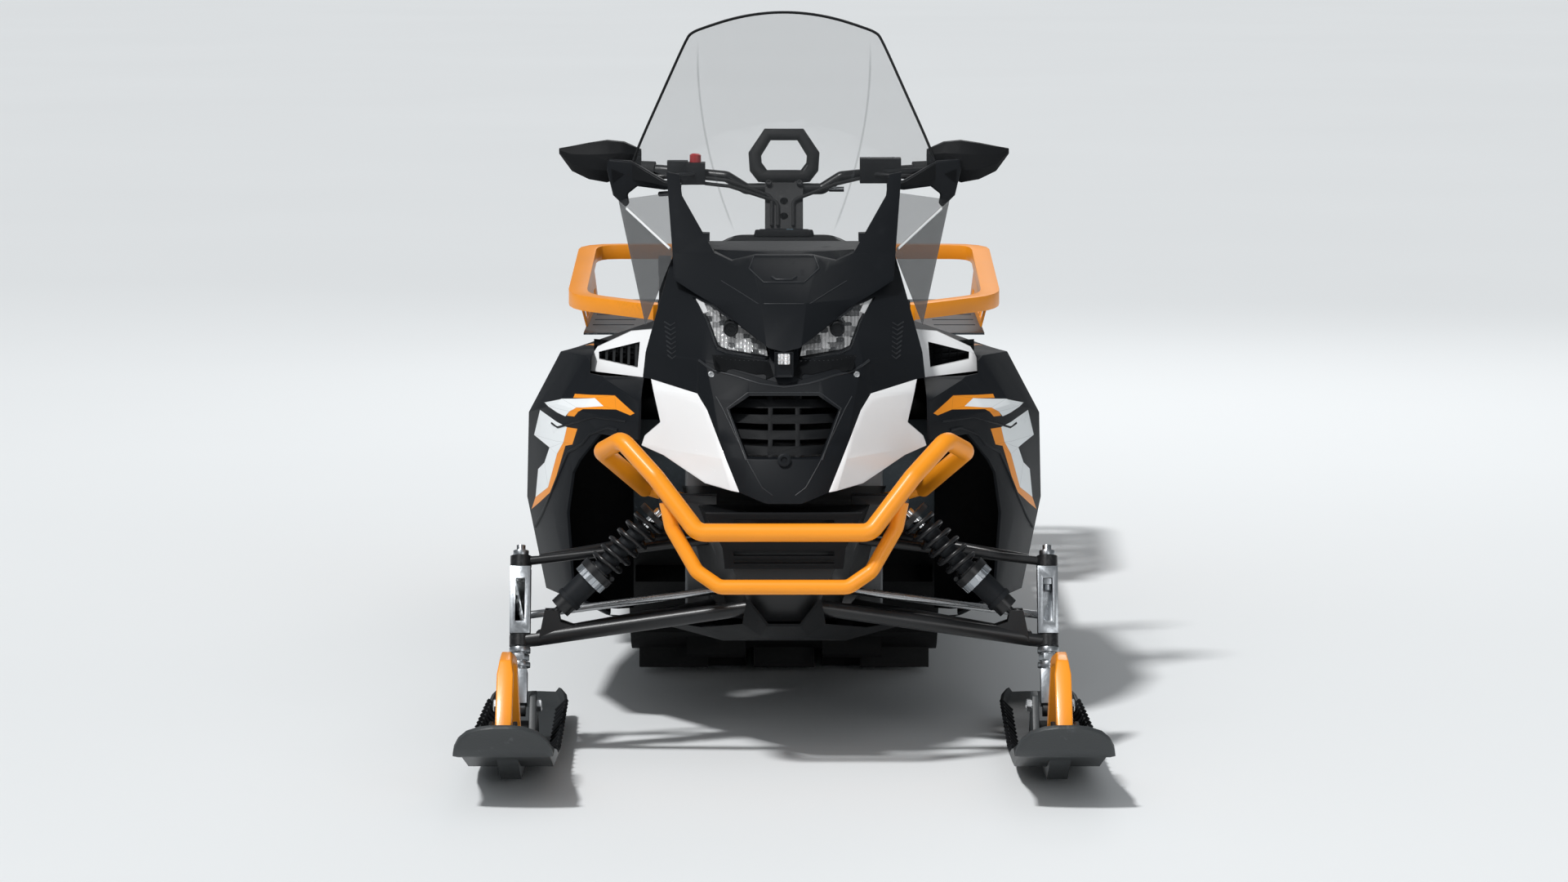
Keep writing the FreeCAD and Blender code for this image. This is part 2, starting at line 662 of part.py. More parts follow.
# Front dampers: lower and upper eye of the left one
shockLow = Vector(-414, -1062, 258)
shockTop = Vector(-205, -1042, 458)
shockAxis = (shockTop - shockLow).normalize()
shockLength = (shockTop - shockLow).Length
eyeHalf = 11

# Front frame between the engine and the nose, carrying the arms, the dampers and the bumper
frameSections = (
    # y, half width low, z low, half width high, z high
    (-1150, 48, 262, 135, 455),
    (-1000, 90, 245, 165, 460),
    (-890, 130, 235, 185, 470),
)
frameBlock = loft([[(-low, y, zLow), (-high, y, zHigh), (high, y, zHigh), (low, y, zLow)]
                   for y, low, zLow, high, zHigh in frameSections])
steeringWindow = block((-200, -985, 258), (200, -915, 320))
towerWall = 6
# Damper tower in the front view: x, z
towerOutline = ((120, 400), (150, 400), (222, shockTop.z - 12), (222, shockTop.z + 16),
                (120, shockTop.z + 16))
towers = []
for side in (-1, 1):
    for y in (-eyeHalf - towerWall - size.RunningGap, eyeHalf + size.RunningGap):
        tower = Part.Face(polygon([(side * x, shockTop.y + y, z) for x, z in towerOutline]))
        towers.append(tower.extrude(Vector(0, towerWall, 0)))
    towers.append(Part.makeCylinder(towerWall, 2 * (eyeHalf + towerWall),
                                    Vector(side * -shockTop.x, shockTop.y - eyeHalf - towerWall, shockTop.z),
                                    Vector(0, 1, 0)))

# Engine rails from the frame to the tunnel's front wall
railFront = frameSections[-1][0] - size.CradleTube / 2
railRise = 90
cradle = []
for side in (-1, 1):
    left = side * size.CradleHalf - size.CradleTube / 2
    right = left + size.CradleTube
    cradle.append(block((left, railFront, size.EngineFoot - size.CradleTube),
                        (right, size.TunnelFront, size.EngineFoot)))
    cradle.append(block((left, size.TunnelFront - size.CradleTube, size.EngineFoot - 1),
                        (right, size.TunnelFront, size.TunnelFoot + railRise)))
keep(feature("FrontFrame", frameBlock.cut(steeringWindow).multiFuse(towers + cradle)), "front_frame")

# Belly pan: an open tray under the front frame and the engine, hung from the frame's underside
panSections = (
    # y, half width at the rim, z of the rim, half width of the floor, z of the floor
    (-1182, 66, 306, 30, 258),
    (-1140, 74, 256, 40, 232),
    (-1000, 150, 228, 110, 204),
    (-860, 240, 222, 190, 203),
    (-700, 329.6, 205, 262, 196),
    (-500, 329.6, 172, 270, 158),
)


def panSection(y, rim, zRim, floor, zFloor):
    wall = size.BodyWall
    outside = [(-rim, y, zRim), (-floor, y, zFloor)]
    inside = [(rim - wall, y, zRim), (floor - wall / 2, y, zFloor + wall)]
    return outside + mirrored(outside) + inside + mirrored(inside)


def panVolume(rise):
    sections = []
    for y, rim, zRim, floor, zFloor in panSections:
        side = [(-rim, y, zRim + rise), (-rim, y, zRim), (-floor, y, zFloor)]
        sections.append(side + mirrored(side))
    return loft(sections)


pan = loft([panSection(*row) for row in panSections])
hanger = block((-40, -1090, 120), (40, -1050, 320)).common(panVolume(60)).cut(frameBlock)
keep(feature("BellyPan", pan.fuse(hanger)), "belly_pan")

# The nose: plan outlines at rising heights give one outer surface, split into its panels
noseLevels = (
    # z, then x and y of the front corner, the cheek corner and the side corner
    (470, (40, -1205), (85, -1185), (150, -1110)),
    (550, (50, -1172), (110, -1145), (258, -958)),
    (650, (70, -1105), (125, -1085), (256, -950)),
    (713, (60, -1062), (140, -1035), (size.SeamHalf, -890)),
    (812, (40, -985), (125, -925), (222, -800)),
    (size.HoodTop, (30, -800), (100, -770), (200, -700)),
)


# The space inside the nose, set back from its outer surface; the top comes down as well
def noseVolume(inset):
    sections = []
    for z, *corners in noseLevels:
        height = z - inset if z == size.HoodTop else z
        side = [(-max(x - inset, 4), y + inset * 1.2, height) for x, y in reversed(corners)]
        back = (-max(corners[2][0] - inset, 4), size.NoseBack, height)
        sections.append([back] + side + mirrored(side) + [(-back[0], size.NoseBack, height)])
    return loft(sections)


noseOuter = noseVolume(0)
noseSkin = noseOuter.cut(noseVolume(size.BodyWall))


noseAhead = -1300


# A front-view outline as a block through the whole nose
def frontFace(points, front):
    return Part.Face(polygon([(x, front, z) for x, z in points]))


def frontBlock(points, front=noseAhead, back=size.NoseBack):
    return frontFace(points, front).extrude(Vector(0, back - front, 0))


def bothSides(points):
    return points + [(-x, z) for x, z in reversed(points)]


# Corners of the panel seams in the front view, left half: x, z
fasciaPeak = (0, 676)
fasciaShoulder = (-152, 714)
fasciaBrow = (-154, 656)
fasciaWaist = (-136, 630)
fasciaFoot = (-78, 495)
cheekTop = (-239, 671)
nosePanelsBack = -930

# Fascia: the centre panel, with a deep rim round the grille's opening
fasciaOutline = [fasciaPeak] + bothSides([fasciaShoulder, fasciaBrow, fasciaWaist, fasciaFoot, (-30, 478)])
grilleOutline = bothSides([(-61, 657), (-97, 633), (-64, 553)])
grilleSetBack = 22
grilleDepth = 28
rimWall = 4
grilleHole = frontBlock(grilleOutline)
rimOutside = frontFace(grilleOutline, noseAhead).makeOffset2D(rimWall, 2)
rimOutside = rimOutside.extrude(Vector(0, size.NoseBack - noseAhead, 0))
rim = noseOuter.cut(noseVolume(grilleDepth)).common(rimOutside)
fascia = noseSkin.common(frontBlock(fasciaOutline, back=nosePanelsBack)).fuse(rim).cut(grilleHole)
keep(feature("FrontFascia", fascia), "front_fascia")

# Grille: four bars and two ribs between the rim's walls
barHeight = 15
ribX, ribHalf = 24, 4
grilleSet = noseVolume(grilleSetBack).common(grilleHole).cut(noseVolume(grilleDepth))
bars = [block((-120, noseAhead, z), (120, -900, z + barHeight)) for z in (556, 582, 608, 634)]
bars += [block((x - ribHalf, noseAhead, 545), (x + ribHalf, -900, 665)) for x in (-ribX, ribX)]
keep(feature("Grille", grilleSet.common(bars[0].multiFuse(bars[1:]))), "grille")

# Cheeks: the pale panels beside the fascia
cheekOutline = [cheekTop, fasciaBrow, fasciaWaist, fasciaFoot, (-140, 503), (-216, 541), (-256, 552),
                (-250, 570), (-221, 598)]
cheek = noseSkin.common(frontBlock(cheekOutline, back=nosePanelsBack))
pair(feature("Cheek", cheek), "cheek_panels")

# Headlights, and the small centre lamp on the hood's beak
lampOutline = [(-165, 812), (-124, 801), (-27, 737), (-26, 716), (-105, 724), (-121, 731), (-139, 774)]
lampDepth = 50
lampBlock = frontBlock(lampOutline)
lampBody = feature("Headlight", noseOuter.cut(noseVolume(lampDepth)).common(lampBlock))
centreLamp = feature("CentreLamp", block((-15, -1092, 691), (15, -1032, 732)).cut(noseOuter))
lampSet = group("Part::Compound", "LampSet", [lampBody, twin(lampBody, "HeadlightOther"), centreLamp])
keep(lampSet, "headlights")

# Hood: the rest of the skin, up to the dash and down to the cheeks
hoodSide = [fasciaShoulder, fasciaBrow, cheekTop, (-270, 671), (-270, 720), (-230, 820), (-204, size.HoodTop)]
hoodOutline = [fasciaPeak] + bothSides(hoodSide)
lampOther = lampBlock.mirror(Vector(), across)
hood = noseSkin.common(frontBlock(hoodOutline)).cut(lampBlock).cut(lampOther)
keep(feature("Hood", hood), "hood")

# Windshield base: a V that covers the hood's ridge and rises in two arms
baseLevels = (
    # z, x and y of the middle corner, x and y of the outer corner
    (733, (30, -1092), (215, -935)),
    (812, (40, -1000), (215, -850)),
    (885, (60, -830), (215, -775)),
    (1022, (60, -650), (225, -600)),
)
armWall = 7
bezelDepth = 60


def baseVolume(inset):
    sections = []
    for z, (inner, yInner), (outer, yOuter) in baseLevels:
        side = [(-outer, yOuter + inset, z), (-inner, yInner + inset, z)]
        far = [(-outer, yOuter + 200, z)]
        sections.append(far + side + mirrored(side) + mirrored(far))
    return loft(sections)


def baseFront(x, z):
    for (zLow, *low), (zHigh, *high) in zip(baseLevels, baseLevels[1:]):
        if zLow <= z <= zHigh:
            part = (z - zLow) / (zHigh - zLow)
            (xi, yi), (xo, yo) = [[a + (b - a) * part for a, b in zip(p, q)] for p, q in zip(low, high)]
            return yi + (yo - yi) * (abs(x) - xi) / (xo - xi)


# Windshield: plan arcs at rising heights
screenLevels = (
    # z, y in the middle, half width, y at the edge
    (880, -800, 235, -700),
    (1020, -628, 300, -530),
    (1160, -455, 300, -380),
    (1310, -268, 300, -215),
)


def screenLoft(depth):
    sections = []
    for z, yMiddle, half, yEdge in screenLevels:
        corners = [Vector(x, yEdge + shift, z) for shift in (0, depth) for x in (-half, half)]
        front = Part.Arc(corners[0], Vector(0, yMiddle, z), corners[1]).toShape()
        back = Part.Arc(corners[3], Vector(0, yMiddle + depth, z), corners[2]).toShape()
        ends = [Part.LineSegment(corners[a], corners[b]).toShape() for a, b in ((1, 3), (2, 0))]
        sections.append(Part.Wire([front, ends[0], back, ends[1]]))
    return Part.makeLoft(sections, True, False)


screenEdge = [(-182, 1264), (-276, 1056), (-284, 1030), (-222, 1012), (-196, 966), (-144, 894), (-100, 889)]
screenTop = 1306
screenSide = [Vector(x, noseAhead, z) for x, z in bothSides(screenEdge)]
screenCrown = Part.Arc(screenSide[-1], Vector(0, noseAhead, screenTop), screenSide[0]).toShape()
screenRing = Part.makePolygon(screenSide).Edges + [screenCrown]
screenBlock = Part.Face(Part.Wire(screenRing)).extrude(Vector(0, 1300, 0))
keep(feature("Windshield", screenLoft(size.ScreenWall).common(screenBlock)), "windshield")

# The base with four lugs that the screen is fastened to
armOutline = [(-27, 740), (-124, 803), (-160, 819), (-199, 839), (-204, 891), (-218, 1020), (-194, 1016),
              (-188, 980), (-127, 886), (-94, 874), (-50, 884)]
baseBlock = frontBlock([(0, 734)] + bothSides(armOutline), back=-300)
aboveHood = block((-300, noseAhead, size.HoodTop), (300, 100, size.HoodTop + 400))
bezel = baseVolume(0).cut(baseVolume(bezelDepth)).common(baseBlock).cut(aboveHood)
arms = baseVolume(0).cut(baseVolume(armWall)).common(baseBlock)
lugHalf = 7
lugPlaces = ((-197, 993), (197, 993), (-143, 911), (143, 911))
lugs = [block((x - lugHalf, -900, z - lugHalf), (x + lugHalf, -500, z + lugHalf)) for x, z in lugPlaces]
screenLugs = lugs[0].multiFuse(lugs[1:]).common(baseVolume(0)).cut(screenLoft(300))
base = bezel.multiFuse([arms, screenLugs]).cut(noseOuter)
keep(feature("WindshieldBase", base), "windshield_base")

# Clear side wings: a folded sheet from each arm to the body's side
wingDepth = 5
wingTop, wingFoot = (-309, -552, 964), (-257, -640, 738)
wingArmHigh = (-205, baseFront(205, 985) + 1, 985)
wingArmLow = (-198, baseFront(198, 891) + 1, 891)
wingSheets = [Part.Face(polygon(corners)).extrude(Vector(0, wingDepth, 0))
              for corners in ((wingTop, wingArmHigh, wingArmLow), (wingTop, wingArmLow, wingFoot))]
wing = wingSheets[0].fuse(wingSheets[1]).cut(baseBlock).cut(noseOuter)
pair(feature("SideWing", wing), "side_wings")

# Mirrors: a rounded housing, pointed outwards, on a pierced bracket from the base's arm
mirrorY = -480
mirrorRows = (
    # x, half depth, z low, z high
    (-268, 20, 1024, 1054),
    (-300, 32, 1005, 1068),
    (-332, 36, 993, 1071),
    (-366, 31, 999, 1066),
    (-398, 20, 1014, 1060),
    (-422, 7, 1046, 1056),
)
bracketOutline = [(-332, 1036), (-285, 1034), (-222, 1000), (-200, 998), (-200, 984), (-223, 984),
                  (-273, 989),
                  (-292, 975), (-289, 958), (-295, 952), (-319, 975), (-330, 1021)]
bracketHole = [(-321, 1020), (-299, 1012), (-318, 996)]
bracketInner, bracketOuter = (-222, -606), (-329, -526)
bracketWall = 12


def mirrorSection(x, half, low, high):
    middle, rise = (low + high) / 2, (high - low) / 2
    corners = ((-1, -0.4), (-0.55, -1), (0.55, -1), (1, -0.4), (1, 0.4), (0.55, 1), (-0.55, 1), (-1, 0.4))
    return [(x, mirrorY + half * along, middle + rise * up) for along, up in corners]


def bracketBlock(points):
    (xNear, yNear), (xFar, yFar) = bracketInner, bracketOuter
    lean = (yFar - yNear) / (xFar - xNear)
    face = Part.Face(polygon([(x, yNear + (x - xNear) * lean, z) for x, z in points]))
    return face.extrude(Vector(0, bracketWall, 0))


housing = loft([mirrorSection(*row) for row in mirrorRows])
bracket = bracketBlock(bracketOutline).cut(bracketBlock(bracketHole)).cut(baseBlock).cut(screenLoft(60))
mountRadius, mountLength = 11, 60
mountStart = Vector(-312, mirrorY - mountLength + 4, 1022)
mount = Part.makeCylinder(mountRadius, mountLength, mountStart, Vector(0, 1, 0))
mount = mount.cut(screenLoft(mountLength / 2))
pair(feature("Mirror", housing.multiFuse([bracket, mount])), "mirrors")

# Side panels: upright sections from the nose to the footwell
panelFoot = size.BoardTop + size.RunningGap
seam = -size.SeamHalf - size.RunningGap
panelStations = (
    # y, then x and z of: inner top, shoulder, flank top, flank foot, lower corner, inner foot
    (-945, (-256, 640), (-259, 630), (-262, 590), (-264, 430), (-262, 300), (-250, 262)),
    (-800, (-255, 658), (-326, 654), (-372, 596), (-378, 406), (-352, 246), (-300, 216)),
    (-700, (seam, 713), (-366, 688), (-418, 598), (-428, 400), (-400, 240), (-330, 205)),
    (-500, (seam, 713), (-420, 675), (-481, 560), (-485, 400), (-450, 225), (-330, 172)),
    (-200, (seam, 705), (-410, 650), (-472, 560), (-478, 400), (-450, 260), (-340, 205)),
    (66, (seam, 646), (-384, 614), (-447, 542), (-454, 430), (-446, 346), (-345, panelFoot)),
    (96, (seam, 638), (-378, 608), (-443, 538), (-450, 430), (-442, 345), (-345, panelFoot)),
)


def insetLine(points, wall):
    out = []
    for index, here in enumerate(points):
        before = points[max(index - 1, 0)]
        after = points[min(index + 1, len(points) - 1)]
        dx, dz = after[0] - before[0], after[1] - before[1]
        long = math.hypot(dx, dz)
        out.append((here[0] - dz / long * wall, here[1] + dx / long * wall))
    return out


# Height of the side panels' upper edge along the machine
def panelTop(y):
    for (yFront, front, *_), (yRear, rear, *_) in zip(panelStations, panelStations[1:]):
        if yFront <= y <= yRear:
            return front[1] + (rear[1] - front[1]) * (y - yFront) / (yRear - yFront)


panelSections = []
for y, *points in panelStations:
    inner = insetLine(points, size.BodyWall)
    panelSections.append([(x, y, z) for x, z in points + list(reversed(inner))])

# Side view of the opening for the front suspension: y, z
suspensionWindow = ((-1000, 560), (-850, 560), (-775, 480), (-725, 260), (-725, 100), (-1000, 100))
windowFace = Part.Face(polygon([(-600, y, z) for y, z in suspensionWindow]))
windowBlock = windowFace.extrude(across * 500)

# Vent frame: front-view outlines laid on one plane that leans back and outwards
ventOutline = [(-249, 657), (-252, 706), (-238, 738), (-282, 731), (-345, 700), (-356, 684), (-356, 659)]
ventOpening = [(-342, 692), (-341, 680), (-268, 672), (-265, 715)]
ventCorner = Vector(-249, -800, 657)
ventNormal = (Vector(-356, -700, 659) - ventCorner).cross(Vector(-266, -700, 731) - ventCorner)
ventDepth = 14


def ventSpot(x, z, shift=0):
    y = ventCorner.y - (ventNormal.x * (x - ventCorner.x) + ventNormal.z * (z - ventCorner.z)) / ventNormal.y
    return (x, y + shift, z)


def ventBlock(points, depth, shift=0):
    return Part.Face(polygon([ventSpot(x, z, shift) for x, z in points])).extrude(Vector(0, depth, 0))


ventWindow = frontBlock(ventOutline, front=-1000, back=-600)

# Toe wall at the footwell, and the inner wall beside the seat's nose, both down to the tunnel
toeY, toeBack = 88, panelStations[-1]
deck = size.TunnelTop + size.RunningGap
besideTunnel = -size.HalfOut - size.RunningGap
toeOutline = list(toeBack[1:]) + [(besideTunnel, panelFoot), (besideTunnel, deck), (seam, deck)]
toePlate = Part.Face(polygon([(x, toeY, z) for x, z in toeOutline])).extrude(Vector(0, size.BodyWall, 0))
innerWall = loft([[(seam, y, deck), (seam, y, panelTop(y)), (seam - size.BodyWall, y, panelTop(y)),
                   (seam - size.BodyWall, y, deck)] for y in (-88, 66, toeY + size.BodyWall)])
panelSolid = loft(panelSections).multiFuse([toePlate, innerWall]).cut(noseOuter)
panelSolid = panelSolid.cut(windowBlock).cut(ventWindow)
panelLeft = feature("SidePanelLeft", panelSolid)
keep(panelLeft, "side_panel_left")
keep(twin(panelLeft, "SidePanelRight"), "side_panel_right")

ventHole = frontBlock(ventOpening, front=-1000, back=-600)
slats = []
for number in range(5):
    x = -330 + number * 14
    slats.append(frontBlock([(x, 670), (x + 5, 670), (x + 5, 720), (x, 720)], front=-1000, back=-600))
slatSet = ventBlock(ventOpening, 6, 6).common(slats[0].multiFuse(slats[1:]))
ventRing = ventBlock(ventOutline, ventDepth).cut(ventHole).cut(noseOuter)
ventLeft = feature("VentLeft", ventRing.fuse(slatSet))
ventRight = feature("VentRight", ventRing.mirror(Vector(), across))
keep(group("Part::Compound", "Vents", [ventLeft, ventRight]), "vent_frames")

# Console from the hood to the seat, open where the steering column comes through
consoleRows = (
    # y, half width and z of the shoulder, half width and z of the crown
    (size.NoseBack + size.RunningGap, 200, 884, 100, size.HoodTop),
    (-500, 204, 850, 98, 887),
    (-380, 210, 792, 92, 884),
    (-200, 236, 748, 68, 842),
    (-90, 247, 733, 50, 780),
)


def consoleVolume(inset):
    sections = []
    for y, shoulder, zShoulder, crown, zCrown in consoleRows:
        side = [(-size.SeamHalf + inset, y, panelTop(y)), (-shoulder + inset, y, zShoulder - inset / 2),
                (-crown, y, zCrown - inset)]
        sections.append(side + mirrored(side))
    return loft(sections)


columnAxis = Vector(0, math.sin(math.radians(size.ColumnRake)), math.cos(math.radians(size.ColumnRake)))
barCentre = Vector(0, size.BarY, size.BarZ)
columnClear, columnSpan = 55, 700
columnHole = Part.makeCylinder(columnClear, columnSpan, barCentre - columnAxis * columnSpan, columnAxis)
rearY, rearShoulder, rearShoulderZ, rearCrown, rearCrownZ = consoleRows[-1]
rearFoot = -size.SeamHalf + size.BodyWall / 2
rearEdge = [(rearFoot, deck), (rearFoot, panelTop(rearY)), (-rearShoulder, rearShoulderZ),
            (-rearCrown, rearCrownZ)]
rearWall = frontBlock(bothSides(rearEdge), front=rearY - size.BodyWall, back=rearY)
console = consoleVolume(0).cut(consoleVolume(size.BodyWall)).fuse(rearWall).cut(columnHole)
keep(feature("Console", console), "console")

# Gauge pod on the console, ahead of the column
gaugeRows = (
    # y, half width, z low, z high
    (-440, 54, 860, 890),
    (-415, 64, 860, 898),
    (-350, 60, 850, 888),
)
gauge = loft([[(-half, y, low), (half, y, low), (half * 0.85, y, high), (-half * 0.85, y, high)]
              for y, half, low, high in gaugeRows])
keep(feature("Gauge", gauge.cut(consoleVolume(0))), "gauge")

# Bumper: an upper tube with two ears, a lower hoop, and gussets where they meet
upperHalf = [(-250, -925, 470), (-322, -1110, 560), (-284, -1180, 588), (-224, -1232, 529),
             (-150, -1272, 437)]
bumperUpper = tube(upperHalf + mirrored(upperHalf), size.BumperRadius, 26)
lowerHalf = [(-205, -1230, 485), (-196, -1232, 440), (-152, -1252, 366), (-112, -1264, 340)]
bumperLower = tube(lowerHalf + mirrored(lowerHalf), size.BumperRadius - 3, 24)
joinRadius = 12
gussetWall = 6
gussetCorners = ((214, -1234, 512), (203, -1234, 452), (178, -1246, 470))
bumperJoins = []
for side in (-1, 1):
    endX, endY, endZ = upperHalf[0]
    bumperJoins.append(rod((side * -endX, endY, endZ), (side * 150, endY, endZ - 30), joinRadius))
    gusset = Part.Face(polygon([(side * x, y, z) for x, y, z in gussetCorners]))
    bumperJoins.append(gusset.extrude(Vector(0, gussetWall, 0)))
keep(feature("Bumper", bumperUpper.multiFuse([bumperLower] + bumperJoins).cut(frameBlock)), "bumper")

# Lower intake: a slatted mouth between the fascia's chin and the belly pan, on two stems from the frame
intakeRows = (
    # z, half width, y of the front
    (362, 104, -1196),
    (400, 108, -1204),
    (462, 138, -1206),
)
intakeWall = 16
intake = loft([[(-half, y + intakeWall, z), (-half, y, z), (half, y, z), (half, y + intakeWall, z)]
               for z, half, y in intakeRows])
slotHalf, slotHeight = 88, 8
slots = [block((-slotHalf, -1230, z), (slotHalf, -1170, z + slotHeight)) for z in (372, 386, 414, 428, 442)]
stemX, stemHalf = 98, 7
stems = [block((x - stemHalf, -1196, 388), (x + stemHalf, -1146, 414)) for x in (-stemX, stemX)]
frameFace = frameSections[0][0] - size.RunningGap
frameAhead = block((-300, frameFace, 100), (300, frameFace + 400, 700))
intakeSolid = intake.cut(Part.makeCompound(slots)).multiFuse([stem.cut(frameAhead) for stem in stems])
keep(feature("Intake", intakeSolid), "intake_grille")

# Front suspension
kingpin = Vector(0, math.sin(math.radians(size.Caster)), math.cos(math.radians(size.Caster)))
lowerBall = Vector(-size.BallX, size.BallY, size.BallZ)
upperBall = lowerBall + kingpin * size.UpperBall


def eye(centre, axis, radius, bore, height):
    start = centre - axis * (height / 2)
    ring = Part.makeCylinder(radius, height, start, axis)
    return ring.cut(Part.makeCylinder(bore, height, start, axis))


def armShape(ball, inner, radius):
    half, bore, reach = size.RingHeight / 2, size.StudRadius + size.StudGap, 3 * size.RingHeight
    ring = eye(ball, kingpin, size.RingRadius, bore, size.RingHeight)
    bore = Part.makeCylinder(bore, 2 * reach, ball - kingpin * reach, kingpin)
    rods = [rod(ball, point, radius) for point in inner]
    over = Part.makeCylinder(size.ArmRelief, reach, ball + kingpin * half, kingpin)
    under = Part.makeCylinder(size.ArmRelief, reach, ball - kingpin * (half + reach), kingpin)
    return ring.multiFuse(rods).cut(bore).cut(over).cut(under).cut(frameBlock)


lowerInner = ((-50, -1120, 284), (-118, -906, 254))
upperInner = ((-120, -1004, 388), (-150, -905, 392))
lowerArm = armShape(lowerBall, lowerInner, size.LowerArmRadius)
# Ear beside the damper's lower eye, from the eye's middle: x, z
earOutline = ((-24, -44), (56, -22), (16, -8), (12, 12), (-12, 12))
earWall = 6
earPinRadius = 6
ears = []
for y in (-eyeHalf - earWall - size.RunningGap, eyeHalf + size.RunningGap):
    ear = polygon([(shockLow.x + outward, shockLow.y + y, shockLow.z + up) for outward, up in earOutline])
    ears.append(Part.Face(ear).extrude(Vector(0, earWall, 0)))
earPin = Part.makeCylinder(earPinRadius, 2 * (eyeHalf + earWall), shockLow - Vector(0, eyeHalf + earWall, 0),
                           Vector(0, 1, 0))
pair(feature("LowerArm", lowerArm.multiFuse(ears + [earPin])), "lower_arms")
pair(feature("UpperArm", armShape(upperBall, upperInner, size.UpperArmRadius)), "upper_arms")

# Dampers and coil springs between the lower arms and the front frame
bodyStart, bodyShare, collarShare, capShare = 20, 0.35, 0.36, 0.86
collarWidth, capWidth, collarLip = 14, 10, 5
shaftRadius, eyeRadius = 7, 12
bodyFoot = shockLow + shockAxis * bodyStart
damper = Part.makeCylinder(size.ShockRadius - 2, shockLength * bodyShare, bodyFoot, shockAxis)
damperRod = Part.makeCylinder(shaftRadius, shockLength, shockLow, shockAxis)
damperEyes, damperBores = [], []
for spot in (shockLow, shockTop):
    start = spot - Vector(0, eyeHalf, 0)
    damperEyes.append(Part.makeCylinder(eyeRadius, 2 * eyeHalf, start, Vector(0, 1, 0)))
    damperBores.append(Part.makeCylinder(earPinRadius + size.RunningGap, 2 * eyeHalf, start, Vector(0, 1, 0)))
collarAt = shockLow + shockAxis * (shockLength * collarShare)
collar = Part.makeCylinder(size.SpringRadius + collarLip, collarWidth, collarAt, shockAxis)
capAt = shockLow + shockAxis * (shockLength * capShare)
cap = Part.makeCylinder(size.SpringRadius + collarLip, capWidth, capAt, shockAxis)
damperSolid = damper.multiFuse([damperRod, collar, cap] + damperEyes).cut(damperBores[0]).cut(damperBores[1])
pair(feature("Damper", damperSolid), "front_dampers")

springLength = (capAt - collarAt).Length - collarWidth - 2 * size.SpringWire - 2 * size.RunningGap
springPitch = springLength / size.SpringTurns
helix = Part.makeHelix(springPitch, springLength, size.SpringRadius)
wire = Part.Wire(helix)
coilRing = Part.Wire(Part.makeCircle(size.SpringWire, Vector(size.SpringRadius, 0, 0), Vector(0, 1, 0)))
coil = wire.makePipeShell([coilRing], True, True)
coil.Placement = Placement(collarAt + shockAxis * (collarWidth + size.SpringWire + size.RunningGap),
                           Rotation(Vector(0, 0, 1), shockAxis))
pair(feature("FrontSpring", coil), "front_springs")


nutSideCount = 6


# A disc and a nut on the kingpin
def ringAt(radius, low, high):
    return Part.makeCylinder(radius, high - low, Vector(0, 0, low))


def nutAt(radius, low, high):
    turns = [2 * math.pi * number / nutSideCount for number in range(nutSideCount)]
    ring = polygon([(radius * math.cos(turn), radius * math.sin(turn), low) for turn in turns])
    return Part.Face(ring).extrude(Vector(0, 0, high - low))


# Spindle in its own frame: the kingpin is local z, the lower ball its origin
spindleHalf = 18
pocketHalf = 8.5
pocketEnd = 22
spindleRear = 22
stubLength = 20
steerEyeRadius, steerBoreRadius, steerEyeHeight, steerArmHalf = 14, 6.6, 16, 9
legHalfX, legHalfY, legFoot, legHead = 14, 20, -106, -44
# Collars and a nut under the lower ball's eye: radius, low and high
collarTable = ((13, -45, 0), (19, -12, -3), (19, -38, -30))
lowerNut = (17, -26, -15)


def spindleShape():
    half = size.RingHeight / 2
    low = half + 1
    long = size.UpperBall - 2 * low
    body = block((-spindleHalf, -spindleHalf, low), (spindleHalf, spindleRear, low + long))
    pocket = Part.makeBox(2 * pocketHalf, spindleHalf + spindleRear / 2, long - 2 * pocketEnd,
                          Vector(-pocketHalf, -spindleHalf, low + pocketEnd))
    pieces = [
        ringAt(size.StudRadius, -half - stubLength, low + pocketEnd),
        ringAt(size.StudRadius, size.UpperBall - low - pocketEnd - stubLength,
               size.UpperBall + half + stubLength),
        nutAt(spindleHalf - 4, size.UpperBall - low - pocketEnd - stubLength / 2, size.UpperBall - low),
        ringAt(spindleHalf - 4, size.UpperBall + half + 1, size.UpperBall + half + stubLength / 2),
    ]
    pieces += [ringAt(radius, bottom - half, top - half) for radius, bottom, top in collarTable]
    pieces.append(nutAt(lowerNut[0], lowerNut[1] - half, lowerNut[2] - half))
    pieces.append(block((-legHalfX, -legHalfY, legFoot - half), (legHalfX, legHalfY, legHead - half)))
    pieces.append(block((-steerArmHalf, spindleRear - 2, size.SteerRise - steerEyeHeight / 2),
                        (steerArmHalf, size.SteerArm, size.SteerRise + steerEyeHeight / 2)))
    eyeFoot = Vector(0, size.SteerArm, size.SteerRise - steerEyeHeight / 2)
    pieces.append(Part.makeCylinder(steerEyeRadius, steerEyeHeight, eyeFoot))
    steerBore = Part.makeCylinder(steerBoreRadius, steerEyeHeight, eyeFoot)
    return body.cut(pocket).multiFuse(pieces).cut(steerBore)


def spindlePlace():
    return Placement(lowerBall, Rotation(across, -size.Caster))


